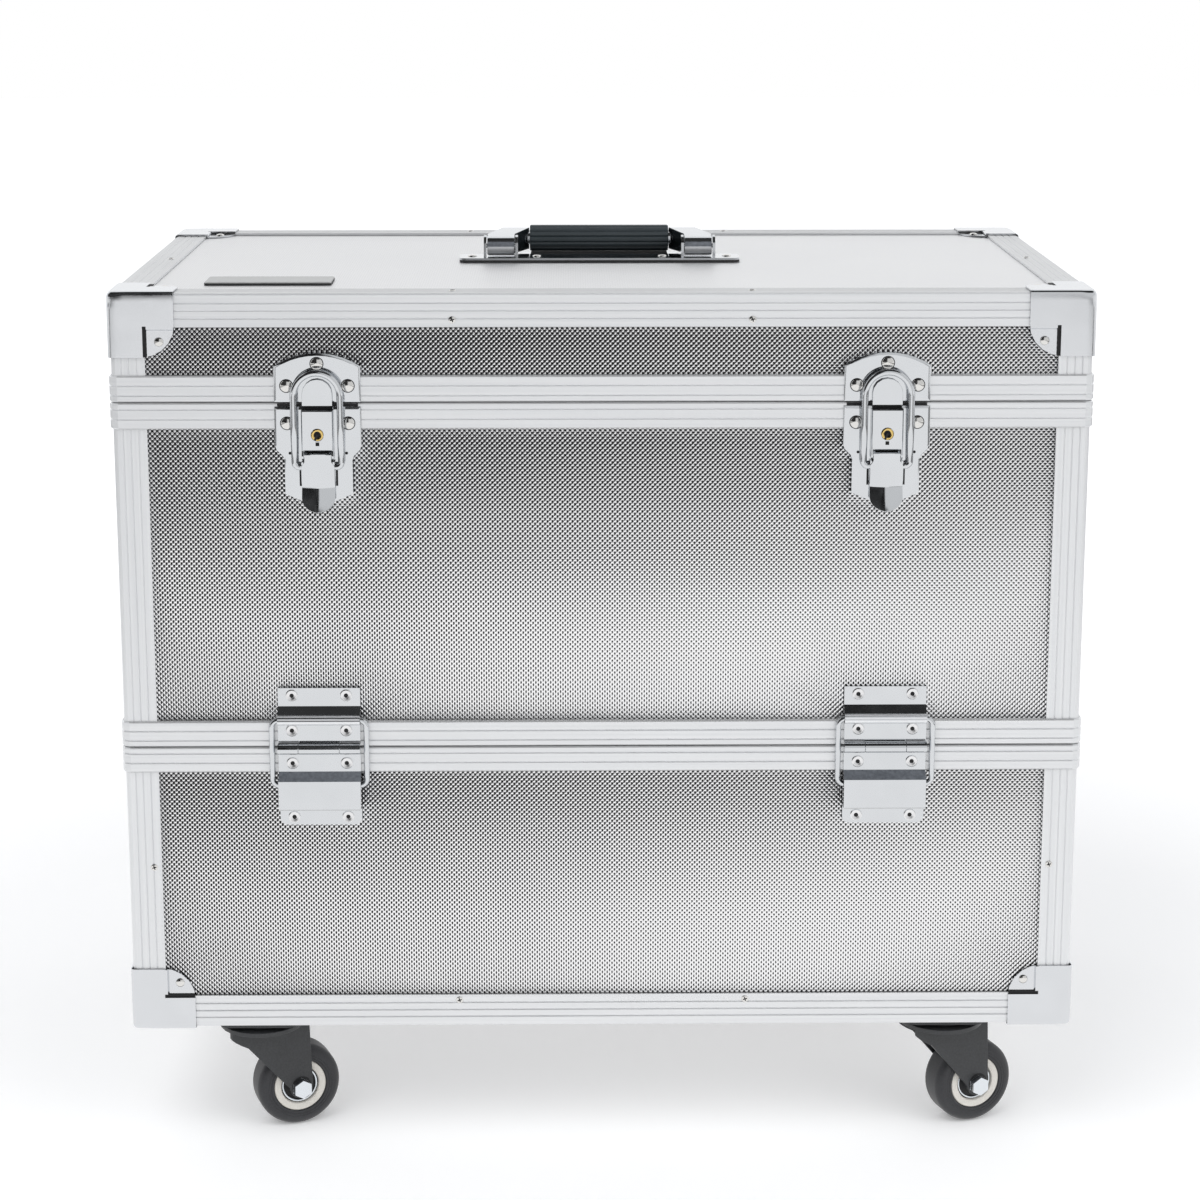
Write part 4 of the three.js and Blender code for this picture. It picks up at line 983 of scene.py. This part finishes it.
# Plates on the lid
def plate(built, halves, levels, centre, corner, index, rim_index):
    """A flat plate with round corners and a worn upper edge, its rim in another material."""
    (half_x, half_y), (low, high) = halves, levels
    outline = []
    for cx, cy, start in ((1, 1, 0), (-1, 1, 90), (-1, -1, 180), (1, -1, 270)):
        outline += arc(cx * (half_x - corner), cy * (half_y - corner), corner, start, start + 90, 6)
    steps = ((0.0, low), (0.0, high - 0.75), (0.1, high - 0.7), (0.1, high - 0.35), (0.45, high))
    matrix = Matrix.Translation((*centre, 0))
    rings = []
    for inset, z in steps:
        places = [Vector((x * (1 - inset / half_x), y * (1 - inset / half_y), z)) for x, y in outline]
        rings.append([built.verts.new(matrix @ place) for place in places])
    for i, (lower, upper) in enumerate(zip(rings, rings[1:])):
        band(built, lower, upper, rim_index if i < 2 else index)
    built.faces.new(rings[-1]).material_index = index
    built.faces.new(rings[0]).material_index = rim_index


# The name plate, left bare
built = bmesh.new()
plate(built, (36.0, 12.5), (501.42, 503.4), (-189.0, -96.8), 1.5, 0, 1)
finished("bare_name_plate", built, "lid", [name_plate, rubber_edge_and_painted_shade], None, 40.0)

# The tongue of the handle's plate under its grip, with a near black pad of painted shade under the grip
built = bmesh.new()
plate(built, (48.5, 12.0), (501.44, 502.6), (0.0, 24.8), 2.0, 0, 0)
# The pad is near black, painted as the grip's dark reflection and shade
plate(built, (42.0, 8.2), (502.5, 503.45), (0.0, 27.6), 1.5, 1, 1)
finished("handle_rest", built, "lid", [hardware_chrome, rubber_edge_and_painted_shade], None, 40.0)


# Casters
def swivel_at(sx, sy):
    return seat(sx * CASTER_ACROSS, sy * CASTER_BACK, CASTER_LEVEL, CASTER_TURN)


def wheel(word, swivel):
    """A wheel as turned rings, each given on one side and mirrored: (radius, out from the middle)."""
    hub = swivel @ Matrix.Translation((AXLE_TRAIL, 0, -AXLE_DROP)) @ OUTWARD
    side = [(15.7, 8.9), (16.0, 9.7), (16.4, 10.0), (17.4, 10.0), (17.6, 9.8), (17.8, 9.8), (18.0, 10.0)]
    side += [(18.9, 10.0), (19.1, 9.85), (19.3, 9.85), (19.5, 10.0)] + arc(20.0, 5.0, 5.0, 90, 0, 8)
    ring = [(11.3, 7.0), (11.4, 8.8), (11.8, 9.3), (15.2, 9.6), (15.6, 9.3), (15.7, 8.9)]
    race = [(9.7, 6.9), (9.8, 7.8), (10.0, 8.0), (10.6, 8.0), (10.8, 7.8), (10.9, 7.0)]
    # The shield and the gap beside the race are near black: painted shade in the hub's recesses
    shield = [(6.0, 6.8), (8.2, 6.9), (9.7, 6.9)]
    gap = [(10.9, 7.0), (11.3, 7.0)]
    core = [(3.3, 9.8), (5.4, 9.8), (5.9, 9.4), (6.0, 6.8)]
    tyre, plastic, bright, dark = range(4)
    built = bmesh.new()
    rings = ((side, tyre), (ring, plastic), (race, bright), (core, bright), (shield, dark), (gap, dark))
    for rows, index in rings:
        lathe(built, rows, hub, 64, index)
        lathe(built, [(radius, -out) for radius, out in rows], hub, 64, index)
    lathe(built, [(25.0, 5.0), (25.0, -5.0)], hub, 64, tyre)
    lathe(built, [(3.3, 9.8), (3.3, -9.8)], hub, 64, bright)
    bmesh.ops.remove_doubles(built, verts=built.verts, dist=0.001)
    name = f"caster_wheel_{word}"
    materials = [tyre_rubber, hub_plastic, bolt_zinc, shadow_black]
    piece = finished(f"{name}_turned", built, name, materials, None, 35.0)
    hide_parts(name)


def fork(word, swivel):
    """A fork with bright bolt heads, each on a near black disc of painted shade for its recess."""
    name = f"caster_fork_{word}"
    built = bmesh.new()
    # A near black disc of painted shade behind each bolt head
    for sign in (-1, 1):
        turn = Matrix.Rotation(-sign * math.pi / 2, 4, "X")
        side = swivel @ Matrix.Translation((AXLE_TRAIL, sign * 12.88, -46.9)) @ turn
        lathe(built, [(5.9, 0.0), (5.7, 0.12), (0.0, 0.12)], side, 28)
    finished(f"{name}_recess", built, body_name(name), [shadow_black], None, 40.0)
    inverse = swivel.inverted()

    def on_bolt(place):
        local = inverse @ place
        return abs(local.y) > 12.95 and math.hypot(local.x - AXLE_TRAIL, local.z + AXLE_DROP) < 7.0

    refined(name, THICK_BEVEL, paints=[(bolt_zinc, on_bolt)])


for word, sx, sy in CORNERS:
    wheel(word, swivel_at(sx, sy))
    fork(word, swivel_at(sx, sy))


# The floor: matte, with a glow that only the camera sees and that grows with the distance, so the floor
# is painted darker round the case as a painted shadow. Beside the white sweep the mirror-like pieces see
# two dark strips of the studio.
GLOW_NEAR = 0.152
GLOW_FAR = 0.45
STRIP_DIM = 0.25


def stage_material():
    graph = Graph("studio_floor")
    tree = graph.tree
    tree.nodes.remove(graph.shader)
    path = tree.nodes.new("ShaderNodeLightPath").outputs
    matte = graph.node("ShaderNodeBsdfDiffuse", 0, {"Color": (0.92, 0.92, 0.92, 1)})
    away = graph.node("ShaderNodeVectorMath", 1, {0: graph.point}, operation="LENGTH")
    # The lower glow near the case paints shadow round it
    share = graph.span(away, 0.5, 1.6, GLOW_NEAR, GLOW_FAR)
    share = graph.math("MULTIPLY", path["Is Camera Ray"], share)
    glow = graph.node("ShaderNodeEmission", 0, {"Color": (1, 1, 1, 1), "Strength": share})
    seen = graph.node("ShaderNodeAddShader", 0, {0: matte, 1: glow})
    aside = graph.math("ABSOLUTE", graph.parts(graph.point)[0])
    strip = graph.math("MULTIPLY", graph.span(aside, 1.15, 1.35), graph.span(aside, 2.7, 2.3))
    tone = graph.mix(strip, 1.0, STRIP_DIM)
    mirrored = graph.node("ShaderNodeEmission", 0, {"Color": (1, 1, 1, 1), "Strength": tone})
    shiny = graph.math("MAXIMUM", path["Is Glossy Ray"], path["Is Transmission Ray"])
    whole = graph.node("ShaderNodeMixShader", 0, {0: shiny, 1: seen, 2: mirrored})
    tree.links.new(whole, tree.nodes["Material Output"].inputs["Surface"])
    return graph.material


def build_floor():
    mesh = bpy.data.meshes.new("floor")
    mesh.from_pydata([(-9, -9, 0), (9, -9, 0), (9, 9, 0), (-9, 9, 0)], [], [(0, 1, 2, 3)])
    mesh.materials.append(stage_material())
    floor = bpy.data.objects.new("floor", mesh)
    bpy.context.collection.objects.link(floor)


# The studio as the mirror-like pieces see it: a white backdrop, a dark room to the left of the
# camera, a paler one to its right, and a dark ceiling
CEILING = Vector((0.0, -0.233, 0.972)).normalized()
CEILING_EDGE = (0.76, 0.82)
FRONT_EDGE = (0.1, -0.5)
ROOM_EDGE = (0.04, -0.09)
PALE_ROOM = 0.72
DARK_ROOM = (0.008, 0.06)


def build_world():
    world = bpy.data.worlds.new("studio")
    bpy.context.scene.world = world
    world.use_nodes = True
    tree = world.node_tree
    tree.nodes.clear()

    def node(kind, inputs, output=0, **settings):
        made = tree.nodes.new(kind)
        for key, value in settings.items():
            setattr(made, key, value)
        for key, value in inputs.items():
            if isinstance(value, bpy.types.NodeSocket):
                tree.links.new(value, made.inputs[key])
            else:
                made.inputs[key].default_value = value
        return made.outputs[output]

    def span(value, low, high, start=0.0, end=1.0):
        places = {"Value": value, "From Min": low, "From Max": high, "To Min": start, "To Max": end}
        return node("ShaderNodeMapRange", places, interpolation_type="SMOOTHSTEP")

    def number(operation, *values):
        return node("ShaderNodeMath", dict(enumerate(values)), operation=operation)

    path = tree.nodes.new("ShaderNodeLightPath").outputs
    direction = tree.nodes.new("ShaderNodeTexCoord").outputs["Generated"]
    level = node("ShaderNodeVectorMath", {0: direction, 1: (1, 1, 0)}, operation="MULTIPLY")
    level = node("ShaderNodeVectorMath", {0: level}, operation="NORMALIZE")
    x, y = [node("ShaderNodeSeparateXYZ", {0: level}, i) for i in range(2)]
    upward = node("ShaderNodeVectorMath", {0: direction, 1: CEILING}, 1, operation="DOT_PRODUCT")
    front = span(y, *FRONT_EDGE)
    room = number("MULTIPLY", span(x, *ROOM_EDGE), front)
    dark = number("MAXIMUM", room, span(upward, *CEILING_EDGE))
    clutter = node("ShaderNodeTexNoise", {"Vector": direction, "Scale": 5.0, "Detail": 2.0})
    dim = span(clutter, 0.4, 0.7, *DARK_ROOM)
    bright = span(front, 0.0, 1.0, 1.0, PALE_ROOM)
    lit = number("MULTIPLY", bright, number("SUBTRACT", 1.0, dark))
    tone = number("MULTIPLY_ADD", dim, dark, lit)

    soft = node("ShaderNodeBackground", {"Color": (0.80, 0.81, 0.83, 1), "Strength": 0.9})
    mirrored = node("ShaderNodeBackground", {"Color": (0.985, 0.993, 1, 1), "Strength": tone})
    plain = node("ShaderNodeBackground", {"Color": (1, 1, 1, 1), "Strength": 1.0})
    shown = node("ShaderNodeMixShader", {0: path["Is Glossy Ray"], 1: soft, 2: mirrored})
    seen = number("MAXIMUM", path["Is Camera Ray"], path["Is Transmission Ray"])
    whole = node("ShaderNodeMixShader", {0: seen, 1: shown, 2: plain})
    tree.links.new(whole, tree.nodes.new("ShaderNodeOutputWorld").inputs["Surface"])


# Lights and camera
def area_light(name, place, target, size, energy):
    light = bpy.data.lights.new(name, "AREA")
    light.shape = "RECTANGLE"
    light.size, light.size_y = size
    light.energy = energy
    lamp = bpy.data.objects.new(name, light)
    lamp.location = place
    lamp.rotation_euler = (Vector(target) - Vector(place)).to_track_quat("-Z", "Y").to_euler()
    lamp.visible_glossy = False
    bpy.context.collection.objects.link(lamp)


def build_camera():
    lens = bpy.data.cameras.new("camera")
    lens.lens = 81.5
    lens.sensor_width = 36.0
    lens.shift_y = -0.10
    lens.clip_end = 50.0
    camera = bpy.data.objects.new("camera", lens)
    camera.location = (-0.018, -1.638, 0.708)
    camera.rotation_euler = (math.radians(90 - 11.8), 0.0, math.radians(-0.64))
    bpy.context.collection.objects.link(camera)
    bpy.context.scene.camera = camera


build_floor()
build_world()
area_light("key", (-1.2, -1.6, 2.6), (0.0, 0.0, 0.25), (2.2, 2.2), 32.0)
area_light("fill", (1.8, -1.4, 1.6), (0.0, 0.0, 0.25), (1.8, 1.8), 14.0)
build_camera()
bpy.context.scene.view_settings.view_transform = "Standard"
